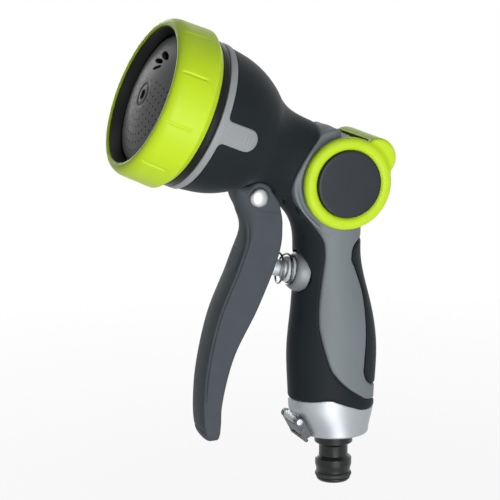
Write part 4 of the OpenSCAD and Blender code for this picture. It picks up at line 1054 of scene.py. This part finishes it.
def grown(name, mesh, tree, values, place):
    """Plain mesh that a geometry tree makes with these values, moved to a place in millimetres."""
    holder = shown(name + "_work", mesh)
    modifier = holder.modifiers.new("tree", "NODES")
    modifier.node_group = tree
    for item in tree.interface.items_tree:
        if item.in_out == "INPUT" and item.name in values:
            modifier[item.identifier] = values[item.name]
    seen = holder.evaluated_get(bpy.context.evaluated_depsgraph_get())
    made = bpy.data.meshes.new_from_object(seen)
    holder.modifiers.remove(modifier)
    bpy.data.objects.remove(holder)
    place = place.copy()
    place.translation = place.translation * MM
    made.transform(place)
    return made


def perforated(blank, size, finish):
    """Spray plate drilled with its jet, fan openings and rows of shower holes."""
    tree, given, result = node_tree("shower_holes", "Hole Radius", "First Row", "Row Step")
    joined = add(tree, "GeometryNodeJoinGeometry")
    for row in range(size.rows):
        reach = add(tree, "ShaderNodeMath", {0: given.outputs["Row Step"], 1: float(row),
                                             2: given.outputs["First Row"]}, operation="MULTIPLY_ADD")
        circle = add(tree, "GeometryNodeMeshCircle", {"Vertices": 14 + 7 * row, "Radius": reach.outputs[0]})
        tree.links.new(circle.outputs["Mesh"], joined.inputs[0])
    spot = add(tree, "GeometryNodeInputPosition")
    parts = add(tree, "ShaderNodeSeparateXYZ", {0: spot.outputs[0]})
    fan = add(tree, "FunctionNodeCompare", {0: parts.outputs["X"], 1: FAN_SIDE}, operation="GREATER_THAN")
    kept = add(tree, "GeometryNodeDeleteGeometry", {"Geometry": joined.outputs[0],
                                                    "Selection": fan.outputs[0]})
    drill = add(tree, "GeometryNodeMeshCylinder", {"Vertices": 10, "Radius": given.outputs["Hole Radius"],
                                                   "Depth": DRILL})
    drills = add(tree, "GeometryNodeInstanceOnPoints", {"Points": kept.outputs[0],
                                                        "Instance": drill.outputs["Mesh"]})
    lifted = add(tree, "GeometryNodeTranslateInstances", {"Instances": drills.outputs[0],
                                                          "Translation": (0, 0, DOME_EDGE * MM)})
    solid = add(tree, "GeometryNodeRealizeInstances", {0: lifted.outputs[0]})
    cutters = add(tree, "GeometryNodeJoinGeometry")
    tree.links.new(solid.outputs[0], cutters.inputs[0])
    # Jet and fan openings in millimetres: place, half sizes in X and in Y, and turn in degrees
    openings = ((0, 0, 2.4, 2.4, 0), (19.5, -3, 1.6, 5.1, -12), (16.3, 0.3, 1.25, 5.1, 0),
                (13.3, -1.8, 0.95, 4, 18))
    for x, y, half_x, half_y, turn in openings:
        bore = add(tree, "GeometryNodeMeshCylinder", {"Vertices": 24, "Radius": MM, "Depth": DRILL})
        moved = add(tree, "GeometryNodeTransform", {
            "Geometry": bore.outputs["Mesh"], "Translation": (x * MM, y * MM, DOME_EDGE * MM),
            "Rotation": (0, 0, math.radians(turn)), "Scale": (half_x, half_y, 1)})
        tree.links.new(moved.outputs[0], cutters.inputs[0])
    drilled = add(tree, "GeometryNodeMeshBoolean", {"Mesh 1": given.outputs["Geometry"]},
                  operation="DIFFERENCE", solver="EXACT")
    tree.links.new(cutters.outputs[0], drilled.inputs["Mesh 2"])
    end_tree(tree, drilled.outputs["Mesh"], given, result)
    values = {"Hole Radius": size.hole, "First Row": FIRST_ROW, "Row Step": size.row_step, "Finish": finish}
    return grown("spray_dome", blank, tree, values, HEAD)


def coil_mesh(name, place, radius, wire, turns, tall, finish):
    """Coil spring with plain ends, wound by a geometry tree along its own axis."""
    tree = bpy.data.node_groups.get("coil_spring")
    if tree is None:
        tree, given, result = node_tree("coil_spring", "Radius", "Wire", "Turns", "Height")
        line = add(tree, "GeometryNodeCurveSpiral", {
            "Resolution": 32, "Rotations": given.outputs["Turns"], "Start Radius": given.outputs["Radius"],
            "End Radius": given.outputs["Radius"], "Height": given.outputs["Height"], "Reverse": True})
        half = add(tree, "ShaderNodeMath", {0: given.outputs["Wire"], 1: 0.5}, operation="MULTIPLY")
        section = add(tree, "GeometryNodeCurvePrimitiveCircle", {"Resolution": 10, "Radius": half.outputs[0]})
        tube = add(tree, "GeometryNodeCurveToMesh", {"Curve": line.outputs[0],
                                                     "Profile Curve": section.outputs[0], "Fill Caps": True})
        end_tree(tree, tube.outputs[0], given, result)
    values = {"Radius": radius * MM, "Wire": wire * MM, "Turns": float(turns), "Height": (tall - wire) * MM,
              "Finish": finish}
    seed = bpy.data.meshes.new(name + "_seed")
    return grown(name, seed, tree, values, place @ Matrix.Translation((0, 0, wire / 2)))


class NOZZLE_PT_panel(bpy.types.Panel):
    """Sizes, colours, stage and pieces of the nozzle"""

    bl_idname = "NOZZLE_PT_panel"
    bl_label = "Hose Spray Nozzle"
    bl_space_type = "VIEW_3D"
    bl_region_type = "UI"
    bl_category = "Nozzle"

    def draw(self, context):
        for label, group in (("Sizes", context.scene.nozzle_sizes), ("Colours", context.scene.nozzle_look),
                             ("Stage", context.scene.nozzle_stage)):
            box = self.layout.box()
            box.label(text=label)
            for name in group.__annotations__:
                box.prop(group, name)
        for operator in OPERATORS:
            self.layout.operator(operator.bl_idname)


GROUPS = {"nozzle_sizes": NozzleSizes, "nozzle_look": NozzleLook, "nozzle_stage": NozzleStage}
OPERATORS = (NOZZLE_OT_stage, NOZZLE_OT_grip, NOZZLE_OT_head, NOZZLE_OT_knob, NOZZLE_OT_trigger,
             NOZZLE_OT_valve, NOZZLE_OT_spigot, NOZZLE_OT_lock, NOZZLE_OT_inner)


def register():
    """Registers the classes and puts the property groups on the scene."""
    for kind in (*GROUPS.values(), *OPERATORS, NOZZLE_PT_panel):
        bpy.utils.register_class(kind)
    for name, kind in GROUPS.items():
        setattr(bpy.types.Scene, name, bpy.props.PointerProperty(type=kind))


def unregister():
    """Takes the property groups off the scene and the classes out."""
    for name in GROUPS:
        delattr(bpy.types.Scene, name)
    for kind in reversed((*GROUPS.values(), *OPERATORS, NOZZLE_PT_panel)):
        bpy.utils.unregister_class(kind)


def main():
    """Builds the stage and every piece."""
    register()
    bpy.ops.nozzle.stage()
    bpy.ops.nozzle.grip()
    bpy.ops.nozzle.head()
    bpy.ops.nozzle.knob()
    bpy.ops.nozzle.trigger()
    bpy.ops.nozzle.valve()
    bpy.ops.nozzle.spigot()
    bpy.ops.nozzle.lock()
    bpy.ops.nozzle.inner()
    bpy.context.view_layer.update()


if __name__ == "__main__":
    main()
